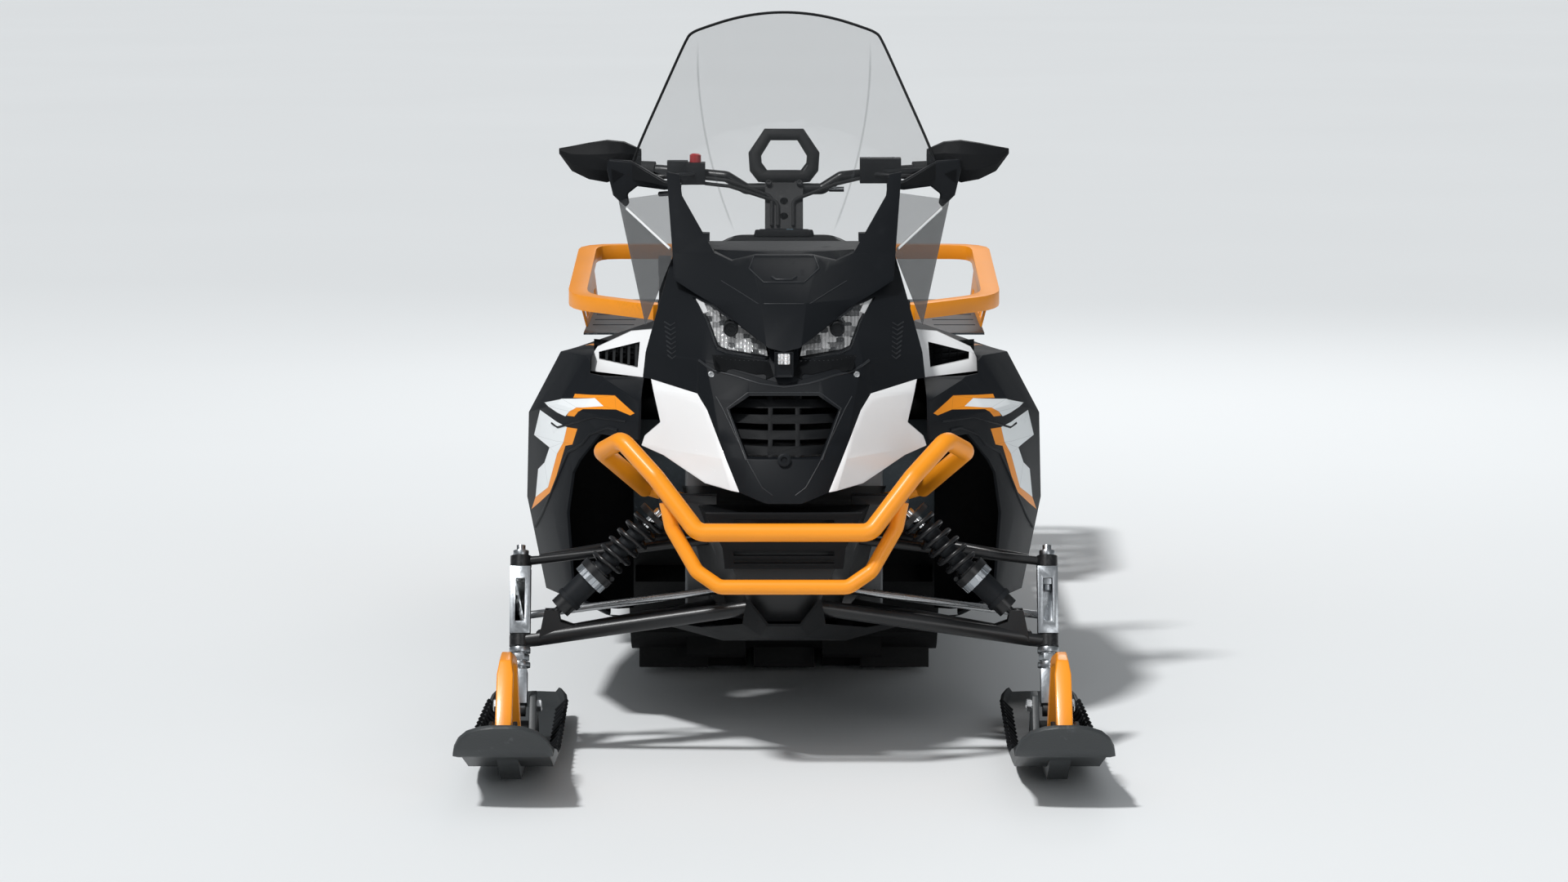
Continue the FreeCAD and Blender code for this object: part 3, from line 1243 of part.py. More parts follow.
bossRadius, boltReach = 20, 60
boltHole = Part.makeCylinder(size.SkiBoltRadius + size.RunningGap, 2 * boltReach,
                             Vector(-size.SkiSpread - boltReach, size.SkiBoltY, size.SkiBoltZ), across)
bossStart = Vector(-size.SkiSpread - legHalfX, size.SkiBoltY, size.SkiBoltZ)
spindleSolid = spindleShape()
spindleSolid.Placement = spindlePlace()
boss = Part.makeCylinder(bossRadius, 2 * legHalfX, bossStart, across)
spindleSolid = spindleSolid.fuse(boss).cut(boltHole)
spindleLeft = feature("SpindleLeft", spindleSolid)
keep(spindleLeft, "spindle_left")
keep(twin(spindleLeft, "SpindleRight"), "spindle_right")

# Tie rods from the spindle's arm to the front frame
tieEye = spindlePlace().multVec(Vector(0, size.SteerArm, size.SteerRise))
tieRise, tieInnerX, tieSlope = 17, -80, 52
tieStudRadius, tieStudFoot, tieHeadRadius, tieHeadFoot, tieHeadTop = 6, -12, 12, 8.5, 24.5
tieOuter = tieEye + kingpin * tieRise
tieInner = Vector(tieInnerX, tieOuter.y, tieOuter.z + tieSlope)
tieStudLength = tieHeadTop - tieStudFoot - 0.5
tieStud = Part.makeCylinder(tieStudRadius, tieStudLength, tieEye + kingpin * tieStudFoot, kingpin)
tieHead = Part.makeCylinder(tieHeadRadius, tieHeadTop - tieHeadFoot, tieEye + kingpin * tieHeadFoot, kingpin)
tieRod = rod(tieOuter, tieInner, size.TieRodRadius).multiFuse([tieStud, tieHead])
tieLeft = feature("TieRodLeft", tieRod)
keep(tieLeft, "tie_rod_left")
keep(twin(tieLeft, "TieRodRight"), "tie_rod_right")

# Skis: side profile padded across, turned up in front, with a keel below
skiProfile = (
    # y, z of the sole's underside
    (size.SkiTipY, 152),
    (size.SkiTipY + 25, 106),
    (size.SkiTipY + 110, 86),
    (size.SkiTipY + 210, 58),
    (size.SkiTipY + 300, 32),
    (size.SkiTipY + 400, size.KeelDepth),
    (size.SkiTailY - 60, size.KeelDepth),
    (size.SkiTailY, size.KeelDepth + 30),
)


# Keel and saddle in side view: y, z; the saddle from the ski bolt
keelProfile = ((size.SkiTipY + 170, 70), (size.SkiTipY + 300, 8), (size.SkiTipY + 400, 0),
               (size.SkiTailY - 90, 0), (size.SkiTailY - 40, 30), (size.SkiTipY + 300, 40))
keelHalf = 20
saddleOutline = ((-90, 30), (90, 30), (24, size.SkiBoltZ + 22), (-24, size.SkiBoltZ + 22))
saddleOut, saddleWall, boltHalf = 34, 12, 38


def skiShape():
    low = [Vector(0, y, z) for y, z in skiProfile]
    high = [Vector(0, y, z + size.SoleThickness) for y, z in skiProfile]
    face = Part.Face(Part.makePolygon(low + high[::-1] + low[:1]))
    face.translate(Vector(-size.SkiWidth / 2, 0, 0))
    blank = face.extrude(across * size.SkiWidth)
    half, tail = size.SkiWidth / 2, size.SkiTail / 2
    plan = [(-tail, size.SkiTailY, 0), (-half, size.SkiTipY + 420, 0), (-half, size.SkiTipY + 90, 0),
            (-half * 0.7, size.SkiTipY + 30, 0), (-half * 0.3, size.SkiTipY, 0)]
    planBlock = Part.Face(polygon(plan + mirrored(plan))).extrude(Vector(0, 0, 300))
    sole = blank.common(planBlock)
    keelFace = Part.Face(polygon([(-keelHalf, y, z) for y, z in keelProfile]))
    keel = keelFace.extrude(across * 2 * keelHalf)
    saddles = []
    for x in (-saddleOut, saddleOut - saddleWall):
        ear = Part.Face(polygon([(x, size.SkiBoltY + along, z) for along, z in saddleOutline]))
        saddles.append(ear.extrude(across * saddleWall))
    boltStart = Vector(-boltHalf, size.SkiBoltY, size.SkiBoltZ)
    bolt = Part.makeCylinder(size.SkiBoltRadius, 2 * boltHalf, boltStart, across)
    solid = sole.multiFuse([keel] + saddles + [bolt])
    solid.translate(Vector(-size.SkiSpread, 0, 0))
    return solid


skiLeft = feature("SkiLeft", skiShape())
keep(skiLeft, "ski_left")
keep(twin(skiLeft, "SkiRight"), "ski_right")

# Ski loop: a moulded band that rises from the shovel and runs back down to the sole, in side view: y, z
loopOutside = ((size.SkiTipY + 24, 96), (-1466, 244), (-1424, 252), (-1344, 232), (-1180, 26))
loopInside = ((-1204, 26), (-1354, 215), (-1424, 234), (-1454, 228), (size.SkiTipY + 48, 96))
loopHalf = 14
loopTopHalf = 7
loopSide = Part.Face(polygon([(-size.SkiSpread - loopHalf, y, z) for y, z in loopOutside + loopInside]))
loopBand = loopSide.extrude(across * 2 * loopHalf)
loopTaper = Part.Face(polygon([(-size.SkiSpread + x, size.SkiTipY, z) for x, z in (
    (-loopHalf, 0), (loopHalf, 0), (loopHalf, 222), (loopTopHalf, 260), (-loopTopHalf, 260),
    (-loopHalf, 222))]))
skiLoop = loopBand.common(loopTaper.extrude(Vector(0, 500, 0))).cut(skiLeft.Shape)
loopSolid = max(skiLoop.Solids, key=lambda solid: solid.Volume)
loopLeft = feature("SkiLoopLeft", loopSolid)
keep(loopLeft, "ski_loop_left")
keep(twin(loopLeft, "SkiLoopRight"), "ski_loop_right")


# Handlebar set, turned about the raked column
def alongColumn(distance):
    return barCentre + columnAxis * distance


barHalf = [(-size.BarHalf, -60, 992), (-240, -80, 988), (-112, size.BarY, 978), (-74, size.BarY, size.BarZ)]
handleTube = tube(barHalf + mirrored(barHalf), size.BarRadius, 14)
riserHalf, riserFront, riserHeight, riserHole = 37, -17, 104, 8
riser = block((-riserHalf, riserFront, 0), (riserHalf, -riserFront, riserHeight))
riserHoles = [Part.makeCylinder(riserHole, -2 * riserFront, Vector(0, riserFront, up), Vector(0, 1, 0))
              for up in (28, 62)]
riser = riser.cut(Part.makeCompound(riserHoles))
riser.Placement = Placement(alongColumn(-100), Rotation(across, -size.ColumnRake))
hoopRise = [(-24, 0, 10), (-52, 0, 48), (-56, 0, 70), (-30, 0, 108)]
strapHoop = tube(hoopRise + mirrored(hoopRise), size.HoopRadius, 12)
strapHoop.Placement = Placement(barCentre, Rotation(across, -12))
keep(feature("Handlebar", handleTube.multiFuse([riser, strapHoop])), "handlebar")

# Steering column down to its bearing on the tunnel
rake = math.radians(size.ColumnRake)
columnDrop = size.BarZ - size.TunnelTop - size.RunningGap - size.ColumnRadius * math.sin(rake)
columnReach = columnDrop / math.cos(rake)
columnTop = -100
column = Part.makeCylinder(size.ColumnRadius, columnReach + columnTop, alongColumn(-columnReach), columnAxis)
keep(feature("SteeringColumn", column), "steering_column")
footY = alongColumn(-columnReach).y
bearingHalf, bearingFront, bearingBack, bearingHeight = 35, 40, 44, 42
bearing = block((-bearingHalf, footY - bearingFront, size.TunnelTop),
                (bearingHalf, footY + bearingBack, size.TunnelTop + bearingHeight))
boreStart = alongColumn(-columnReach - 100)
bearingBore = Part.makeCylinder(size.ColumnRadius + size.RunningGap, 300, boreStart, columnAxis)
keep(feature("SteeringBearing", bearing.cut(bearingBore)), "steering_bearing")

gripAxis = (Vector(*barHalf[1]) - Vector(*barHalf[0])).normalize()
gripEnd = 4
gripStart = Vector(*barHalf[0]) - gripAxis * gripEnd
grip = Part.makeCylinder(size.GripRadius, size.GripLength, gripStart, gripAxis)
gripBore = Part.makeCylinder(size.BarRadius + size.RunningGap / 2, size.GripLength,
                             gripStart + gripAxis * gripEnd, gripAxis)
pair(feature("Grip", grip.cut(gripBore)), "grips")

# Controls: throttle block with the kill switch on the rider's right, brake on the left
switchInner = -154
throttle = block((-228, -118, 962), (-188, -74, 1008))
switch = block((switchInner - 36, -128, 963), (switchInner, -78, 1005))
capRadius, capHeight = 10, 14
killCap = Part.makeCylinder(capRadius, capHeight, Vector(-173, -102, 1004))
thumbLever = tube([(-206, -100, 966), (-212, -84, 944), (-244, -58, 940)], 5, 8)
masterInner = 148
masterCylinder = block((masterInner, -134, 966), (masterInner + 80, -80, 1014))
brakeLever = tube([(176, -112, 988), (206, -142, 988), (336, -112, 994)], 6, 14)
rightControls = throttle.multiFuse([switch, killCap, thumbLever]).cut(handleTube)
leftControls = masterCylinder.fuse(brakeLever).cut(handleTube)
keep(feature("BarControls", Part.makeCompound([rightControls, leftControls])), "bar_controls")

# Cables and brake hose from the controls down the riser's front, in the column's frame
cableRadius = 3.5
cableBend = 14
cableAhead = riserFront - cableRadius - size.RunningGap
cableRuns = (
    # the end at the control and the turn beside it, then x down the riser's front
    ((switchInner + size.RunningGap, -22, 12), (-110, -31, 0), -24, -30),
    ((switchInner + size.RunningGap, -10, 6), (-106, -33, -14), -12, -42),
    ((masterInner - size.RunningGap, -26, 8), (100, -34, -10), 18, -38),
)
cableFoot = -96
cables = [tube([start, turn, (x, cableAhead, high), (x, cableAhead, cableFoot)], cableRadius, cableBend)
          for start, turn, x, high in cableRuns]
for cable in cables:
    cable.Placement = Placement(barCentre, Rotation(across, -size.ColumnRake))
cableSet = [cable.cut(rightControls).cut(leftControls) for cable in cables]
keep(feature("ControlCables", Part.makeCompound(cableSet)), "control_cables")

# Starter grip: a knob on its boot, on the console's right-hand shoulder
starterX, starterY, bootFoot, bootTop, knobTop = -233, -104, 700, 784, 824
bootWide, bootSlim = 13, 11
boot = Part.makeCone(bootWide, bootSlim, bootTop - bootFoot, Vector(starterX, starterY, bootFoot))
knob = Part.makeCylinder(bootWide, knobTop - bootTop, Vector(starterX, starterY, bootTop - 2))
keep(feature("StarterGrip", boot.cut(consoleVolume(0)).fuse(knob)), "starter_grip")

doc.recompute()

faulty = [item.Label for item in doc.Objects if "Invalid" in item.State or "Error" in item.State]
for item in solids:
    if item.Shape.isNull() or not item.Shape.isValid() or not item.Shape.Solids:
        faulty.append(item.Label)
if faulty:
    raise SystemExit("not built: " + ", ".join(faulty))

os.makedirs("parts", exist_ok=True)
for item in solids:
    item.Shape.exportStep(f"parts/{item.Label}.step")
    box = item.Shape.BoundBox
    print(f"{item.Label:22s} solids {len(item.Shape.Solids)}  x {box.XMin:7.1f} {box.XMax:7.1f}"
          f"  y {box.YMin:8.1f} {box.YMax:7.1f}  z {box.ZMin:6.1f} {box.ZMax:7.1f}")
print("nodes", len(solids))
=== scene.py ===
import json
import math
from contextlib import contextmanager

import bpy
from mathutils import Matrix, Vector

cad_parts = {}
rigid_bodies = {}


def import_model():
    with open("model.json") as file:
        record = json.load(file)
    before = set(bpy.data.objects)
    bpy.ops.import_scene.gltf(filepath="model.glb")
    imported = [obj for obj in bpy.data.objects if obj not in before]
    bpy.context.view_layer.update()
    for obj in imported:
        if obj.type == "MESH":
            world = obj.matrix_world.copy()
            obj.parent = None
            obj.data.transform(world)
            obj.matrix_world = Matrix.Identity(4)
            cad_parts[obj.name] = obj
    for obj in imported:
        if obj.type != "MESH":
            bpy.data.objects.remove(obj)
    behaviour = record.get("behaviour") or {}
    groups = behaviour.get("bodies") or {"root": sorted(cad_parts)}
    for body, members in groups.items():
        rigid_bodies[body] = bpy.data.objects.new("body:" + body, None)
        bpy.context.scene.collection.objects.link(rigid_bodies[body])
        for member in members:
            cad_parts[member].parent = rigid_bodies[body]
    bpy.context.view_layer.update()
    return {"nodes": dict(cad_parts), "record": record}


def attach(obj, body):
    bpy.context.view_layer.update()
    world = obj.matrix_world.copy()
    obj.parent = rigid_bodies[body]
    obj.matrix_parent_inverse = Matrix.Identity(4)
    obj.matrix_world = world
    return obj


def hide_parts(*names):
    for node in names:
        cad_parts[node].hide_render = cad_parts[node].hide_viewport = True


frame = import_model()
nodes = frame["nodes"]
bodyOf = {node: body for body, members in frame["record"]["behaviour"]["bodies"].items() for node in members}
print("frame loaded:", len(nodes), "nodes")

# Camera: the front view of the photograph, a long lens almost level with the mirrors
cameraLook = {"place": (0, -10.06, 1.65), "pitch": 83.17, "lens": 117.2, "sensor": 36, "farthest": 400}

cameraData = bpy.data.cameras.new("Camera")
cameraData.lens = cameraLook["lens"]
cameraData.sensor_width = cameraLook["sensor"]
cameraData.clip_end = cameraLook["farthest"]
camera = bpy.data.objects.new("Camera", cameraData)
camera.location = cameraLook["place"]
camera.rotation_euler = (math.radians(cameraLook["pitch"]), 0, 0)
bpy.context.scene.collection.objects.link(camera)
bpy.context.scene.camera = camera
bpy.context.scene.view_settings.view_transform = "Standard"


# A number on its way through a material; sums and products add their Math nodes
class Flow:
    def __init__(self, finish, socket):
        self.finish = finish
        self.socket = socket

    def join(self, operation, first, second=0):
        return self.finish.add("ShaderNodeMath", {"operation": operation}, {0: first, 1: second})

    def __add__(self, other):
        return self.join("ADD", self, other)

    def __radd__(self, other):
        return self.join("ADD", other, self)

    def __sub__(self, other):
        return self.join("SUBTRACT", self, other)

    def __rsub__(self, other):
        return self.join("SUBTRACT", other, self)

    def __mul__(self, other):
        return self.join("MULTIPLY", self, other)

    def __rmul__(self, other):
        return self.join("MULTIPLY", other, self)

    def __abs__(self):
        return self.join("ABSOLUTE", self)

    def sine(self):
        return self.join("SINE", self)

    def sign(self):
        return self.join("SIGN", self)

    def least(self, other):
        return self.join("MINIMUM", self, other)

    def most(self, other):
        return self.join("MAXIMUM", self, other)

    # 0 at low and 1 at high, with a soft run between
    def rise(self, low, high):
        return self.finish.add("ShaderNodeMapRange", {"interpolation_type": "SMOOTHSTEP"},
                               {0: self, 1: low, 2: high, 3: 0, 4: 1})

    def out(self, name):
        return Flow(self.finish, self.socket.node.outputs[name])


def shade(color, factor):
    return tuple(min(1, channel * factor) for channel in color[:3]) + (1,)


# A material under construction round one Principled shader
class Finish:
    def __init__(self, name, constants):
        self.material = bpy.data.materials.new(name)
        self.material.use_nodes = True
        self.tree = self.material.node_tree
        self.shader = self.tree.nodes["Principled BSDF"]
        for socket, value in constants.items():
            self.shader.inputs[socket].default_value = value

    def add(self, kind, settings=None, values=None, output=0):
        node = self.tree.nodes.new(kind)
        for name, value in (settings or {}).items():
            setattr(node, name, value)
        for name, value in (values or {}).items():
            if isinstance(value, Flow):
                self.tree.links.new(value.socket, node.inputs[name])
            else:
                node.inputs[name].default_value = value
        return Flow(self, node.outputs[output])

    def place(self):
        return self.add("ShaderNodeTexCoord", output="Object")

    def stretched(self, scale):
        return self.add("ShaderNodeMapping", None, {"Vector": self.place(), "Scale": scale})

    # The three numbers of the place, apart
    def spot(self):
        return self.add("ShaderNodeSeparateXYZ", None, {0: self.place()})

    # A place in a flat view; the third number lets a dot product add a constant
    def flat(self, across, up):
        return self.add("ShaderNodeCombineXYZ", None, {0: across, 1: up, 2: 1})

    def noise(self, scale, detail=2, where=None, roughness=0.5):
        return self.add("ShaderNodeTexNoise", None, {"Vector": where or self.place(), "Scale": scale,
                                                     "Detail": detail, "Roughness": roughness})

    def cells(self, scale, where=None, distance="EUCLIDEAN", randomness=1):
        return self.add("ShaderNodeTexVoronoi", {"distance": distance},
                        {"Vector": where or self.place(), "Scale": scale, "Randomness": randomness})

    # Square blocks, and a colour that each has of its own, which the reflectors turn into a painted reflection
    def blocks(self, scale, randomness):
        blocks = self.cells(1, self.stretched(scale), "CHEBYCHEV", randomness)
        return blocks, self.add("ShaderNodeSeparateColor", None, {0: blocks.out("Color")})

    def paint(self, amount, first, second):
        return self.add("ShaderNodeMix", {"data_type": "RGBA"}, {0: amount, 6: first, 7: second}, 2)

    # From one shade of a colour to another
    def tone(self, amount, color, low, high):
        return self.paint(amount, shade(color, low), shade(color, high))

    # Pointed edges as a mask: for chips and worn edges, and for a painted edge highlight on plastics and bare metal
    def wear(self, low=0.53, high=0.6):
        return self.add("ShaderNodeNewGeometry", output="Pointiness").rise(low, high)

    # Clouds, grain and scuffs of a moulded skin
    def moulded(self, grain):
        scuff = self.noise(30, 5, self.stretched((1, 0.35, 1)), 0.65).rise(0.6, 0.74)
        return self.noise(4, 4), self.noise(grain), scuff

    # Feeds the shader, raises the grain and hands the material over
    def done(self, feeds, height=None, depth=0):
        if height:
            feeds["Normal"] = self.add("ShaderNodeBump", None, {"Height": height, "Distance": depth})
        for socket, flow in feeds.items():
            self.tree.links.new(flow.socket, self.shader.inputs[socket])
        return self.material


finishes = {}


def addFinishes(maker, looks):
    for name, look in looks.items():
        finishes[name] = maker(name, look)


# Moulded plastic: fine grain, faint clouds of dust and light scuffs, and the dust colour on pointed edges, partly worn
# edges and partly a painted edge highlight
def mouldedPlastic(name, look):
    finish = Finish(name, {"Specular IOR Level": look.get("specular", 0.5), "Coat Weight": look.get("coat", 0),
                           "Coat Roughness": 0.12})
    clouds, grain, scuff = finish.moulded(look["grain"])
    tone = finish.tone(clouds, look["color"], 1 - look["spread"], 1 + look["spread"])
    dusted = finish.paint(scuff * look["scuff"], tone, look["dust"])
    # Pointed edges lightened: partly worn edges, partly a painted edge highlight
    return finish.done({"Base Color": finish.paint(finish.wear() * look["wear"], dusted, look["dust"]),
                        "Roughness": look["roughness"] + clouds * 0.08 - 0.04 + scuff * 0.12}, grain, look["depth"])


# The edge amount of each plastic is partly worn edges and partly a painted edge highlight
addFinishes(mouldedPlastic, {
    "blackPlastic": {"color": (0.0055, 0.0068, 0.0088), "roughness": 0.54, "grain": 900, "depth": 0.0001,
                     "specular": 0.16, "spread": 0.12, "scuff": 0.05, "wear": 0.10, "dust": (0.06, 0.065, 0.07, 1)},
    "softBlack": {"color": (0.0055, 0.0062, 0.0072), "roughness": 0.60, "grain": 520, "depth": 0.0003,
                  "specular": 0.16, "spread": 0.15, "scuff": 0.06, "wear": 0.08, "dust": (0.05, 0.053, 0.057, 1)},
    "whitePlastic": {"color": (0.90, 0.905, 0.91), "roughness": 0.22, "grain": 140, "depth": 0.00005, "coat": 0.5,
                     "spread": 0.015, "scuff": 0.05, "wear": 0.0, "dust": (0.55, 0.56, 0.57, 1)},
    # Lighter than blackPlastic: a painted highlight on the nose creases, the lamp ribs and the pillar slats
    "lipPlastic": {"color": (0.014, 0.016, 0.019), "roughness": 0.4, "grain": 700, "depth": 0.00008,
                   "specular": 0.36, "spread": 0.1, "scuff": 0.05, "wear": 0.05, "dust": (0.08, 0.085, 0.09, 1)},
    "orangePlastic": {"color": (0.93, 0.315, 0.012), "roughness": 0.34, "grain": 500, "depth": 0.00012, "coat": 0.3,
                      "spread": 0.04, "scuff": 0.04, "wear": 0.0, "dust": (0.62, 0.30, 0.10, 1)},
    "dashSoft": {"color": (0.0052, 0.0058, 0.0066), "roughness": 0.82, "grain": 420, "depth": 0.0004,
                 "specular": 0.08, "spread": 0.15, "scuff": 0.05, "wear": 0.05, "dust": (0.04, 0.043, 0.046, 1)},
    "skiPlastic": {"color": (0.030, 0.034, 0.036), "roughness": 0.48, "grain": 260, "depth": 0.0003,
                   "spread": 0.2, "scuff": 0.4, "wear": 0.3, "dust": (0.13, 0.14, 0.145, 1)},
    "redCap": {"color": (0.42, 0.012, 0.015), "roughness": 0.35, "grain": 300, "depth": 0.0001, "spread": 0.08,
               "scuff": 0.1, "wear": 0.1, "dust": (0.5, 0.2, 0.2, 1)},
})


# Powder coat or paint on metal: orange peel, thin chips at the edges
def paintedMetal(name, look):
    finish = Finish(name, {"Metallic": look.get("metallic", 0), "Coat Weight": look["coat"], "Coat Roughness": 0.2,
                           "Specular IOR Level": 0.4})
    clouds = finish.noise(7, 3)
    chips = finish.wear(0.56, 0.64) * finish.noise(160, 3).rise(0.52, 0.6) * look["chips"]
    tone = finish.tone(clouds, look["color"], 1 - look["spread"], 1 + look["spread"])
    return finish.done({"Base Color": finish.paint(chips, tone, look["bare"]),
                        "Roughness": look["roughness"] + clouds * 0.1 - 0.05},
                       finish.noise(look["peel"]), look["depth"])


addFinishes(paintedMetal, {
    "orangeSteel": {"color": (0.93, 0.315, 0.010), "roughness": 0.42, "peel": 420, "depth": 0.00012, "coat": 0.12,
                    "spread": 0.05, "chips": 0.12, "bare": (0.16, 0.06, 0.02, 1)},
    "blackSteel": {"color": (0.0065, 0.007, 0.008), "roughness": 0.36, "peel": 700, "depth": 0.0001, "coat": 0.1,
                   "spread": 0.15, "chips": 0.12, "bare": (0.10, 0.10, 0.105, 1)},
    "aluminiumSheet": {"color": (0.055, 0.067, 0.076), "roughness": 0.4, "peel": 300, "depth": 0.0001,
                       "metallic": 0.75, "coat": 0.0, "spread": 0.12, "chips": 0.4, "bare": (0.4, 0.41, 0.42, 1)},
})


# Bare metal: a cast or drawn skin, with brushed lines where it is drawn, and pointed edges lighter, partly worn bright
# and partly a painted edge highlight
def bareMetal(name, look):
    finish = Finish(name, {"Metallic": 1.0})
    clouds = finish.noise(12, 4)
    skin = finish.noise(look["skin"], 3, finish.stretched(look.get("drawn", (1, 1, 1))))
    tone = finish.tone(clouds, look["color"], 0.82, 1.1)
    # Pointed edges lighter: partly worn edges, partly a painted edge highlight
    return finish.done({"Base Color": finish.paint(finish.wear() * 0.5, tone, shade(look["color"], 1.5)),
                        "Roughness": look["roughness"] + skin * 0.2 - 0.1 + clouds * 0.06}, skin, look["depth"])


addFinishes(bareMetal, {
    "castAluminium": {"color": (0.36, 0.38, 0.40), "roughness": 0.30, "skin": 240, "depth": 0.0002},
    "steel": {"color": (0.48, 0.49, 0.50), "roughness": 0.26, "skin": 90, "depth": 0.00005, "drawn": (1, 1, 12)},
    "engineMetal": {"color": (0.16, 0.165, 0.17), "roughness": 0.5, "skin": 160, "depth": 0.0003},
})


# Rubber: matt, with a bloom that gathers in clouds
def rubberFinish(name, look):
    finish = Finish(name, {"Specular IOR Level": 0.35})
    grain = finish.noise(look["grain"], 3)
    return finish.done({"Base Color": finish.tone(finish.noise(9, 4), look["color"], 0.75, 1.5),
                        "Roughness": look["roughness"] + grain * 0.16 - 0.08}, grain, look["depth"])


addFinishes(rubberFinish, {"rubber": {"color": (0.011, 0.0115, 0.012), "roughness": 0.72, "grain": 220,
                                      "depth": 0.0005}})


# Clear screen plastic: nearly all light passes, with a grey tint and edge gloss; on the screen two bent creases drawn
# as more opaque lines, a painted highlight, and on the wing painted shade below its folded corner
def clearPlastic(name, look):
    finish = Finish(name, {"Base Color": look["color"], "Roughness": look["roughness"], "IOR": 1.5})
    clouds = finish.noise(3, 4)
    spot = finish.spot()
    cover = look["cover"] + clouds * 0.03 + finish.add("ShaderNodeFresnel", None, {"IOR": 1.35}) * look["gloss"]
    # Crease lines drawn more opaque: a painted highlight of the screen's bends
    if "creases" in look:
        up = (spot.out("Z") - look["creaseFoot"]) * (1 / look["creaseRun"])
        line = look["creaseStart"] + up * (look["creaseSlope"] + up * look["creaseBow"])
        within = up.rise(-0.02, 0.1) * (1 - up.rise(0.85, 1.05))
        cover += (1 - abs(abs(spot.out("X")) - line).rise(0.0004, 0.003)) * within * look["creases"]
    # Below the fold line the wing's glass is more opaque and darker: painted shade
    if "fold" in look:
        above = spot.out("Z") - look["foldFoot"] - (abs(spot.out("X")) - look["foldStart"]) * look["foldSlope"]
        cover += (1 - above.rise(-0.002, 0.002)) * look["fold"]
    return finish.done({"Alpha": cover, "Roughness": look["roughness"] + clouds * 0.05})


# The screen's crease lines are a painted highlight; the wing's glass below its fold is painted shade
addFinishes(clearPlastic, {
    "screen": {"color": (0.07, 0.075, 0.08, 1), "roughness": 0.04, "cover": 0.045, "gloss": 0.13, "creases": 0.14,
               "creaseFoot": 0.92, "creaseRun": 0.321, "creaseStart": 0.091, "creaseSlope": 0.147,
               "creaseBow": -0.074},
    "wing": {"color": (0.05, 0.052, 0.055, 1), "roughness": 0.05, "cover": 0.12, "gloss": 0.3, "fold": 0.36,
             "foldFoot": 0.889, "foldStart": 0.208, "foldSlope": 0.726},
})


# Vinyl seat cover: pebbled leather grain in cells under a soft sheen
def seatVinyl(name, look):
    finish = Finish(name, {"Specular IOR Level": 0.4, "Sheen Weight": 0.15, "Sheen Roughness": 0.5})
    clouds = finish.noise(6, 3)
    return finish.done({"Base Color": finish.tone(clouds, look["color"], 0.8, 1.3),
                        "Roughness": look["roughness"] + clouds * 0.1}, finish.cells(look["pebbles"]), look["depth"])


addFinishes(seatVinyl, {"seatVinyl": {"color": (0.0135, 0.0142, 0.0155), "roughness": 0.5, "pebbles": 420,
                                      "depth": 0.0004}})


# Chrome reflector pressed in blocks, each tilted a little differently and painted darker or lighter, a painted
# reflection
def reflectorChrome(name, look):
    finish = Finish(name, {"Metallic": 1.0})
    blocks, blockGlints = finish.blocks(look["blocks"], 0.35)
    # Each block's colour from dark to light: a painted reflection
    return finish.done({"Base Color": finish.paint(blockGlints.out("Red"), look["dark"], look["light"]),
                        "Roughness": look["roughness"] + blockGlints.out("Green") * 0.12},
                       blocks + blockGlints.out("Blue") * 0.6, look["depth"])


addFinishes(reflectorChrome, {"reflector": {"blocks": (75, 1, 55), "dark": (0.10, 0.105, 0.11, 1),
                                            "light": (0.72, 0.73, 0.74, 1), "roughness": 0.08, "depth": 0.004}})


# Coloured lens: a painted glow under a glossy skin with fine prisms
def colouredLens(name, look):
    finish = Finish(name, {"Coat Weight": 1.0, "Coat Roughness": 0.03, "Emission Strength": look["glow"]})
    prisms = (finish.spot().out("X") * look["prisms"]).sine()
    tone = finish.tone(prisms * 0.5 + 0.5, look["color"], 0.7, 1)
    return finish.done({"Base Color": tone, "Emission Color": tone, "Roughness": 0.12 + prisms * 0.04}, prisms, 0.0004)


# The red lens glows a little: painted glow, on the tail lamp and the rear reflectors
addFinishes(colouredLens, {"redLens": {"color": (0.43, 0.012, 0.012), "glow": 0.15, "prisms": 900}})


# Distance inside a convex outline in a flat view, in metres; points in mm run with the outline on their left
def insideOutline(finish, flat, points):
    nearest = None
    for (x0, z0), (x1, z1) in zip(points, points[1:] + points[:1]):
        long = math.hypot(x1 - x0, z1 - z0)
        acrossX, acrossZ = (z0 - z1) / long, (x1 - x0) / long
        back = -(acrossX * x0 + acrossZ * z0) / 1000
        reach = finish.add("ShaderNodeVectorMath", {"operation": "DOT_PRODUCT"},
                           {0: flat, 1: (acrossX, acrossZ, back)}, "Value")
        nearest = nearest.least(reach) if nearest else reach
    return nearest


def signedArea(points):
    return sum(x0 * z1 - x1 * z0 for (x0, z0), (x1, z1) in zip(points, points[1:] + points[:1]))


# 1 inside any of some convex outlines and 0 beside them
def anyOutline(finish, flat, outlines):
    widest = None
    for points in outlines:
        inside = insideOutline(finish, flat, points if signedArea(points) > 0 else points[::-1])
        widest = widest.most(inside) if widest else inside
    return widest.rise(-0.0004, 0.0004)


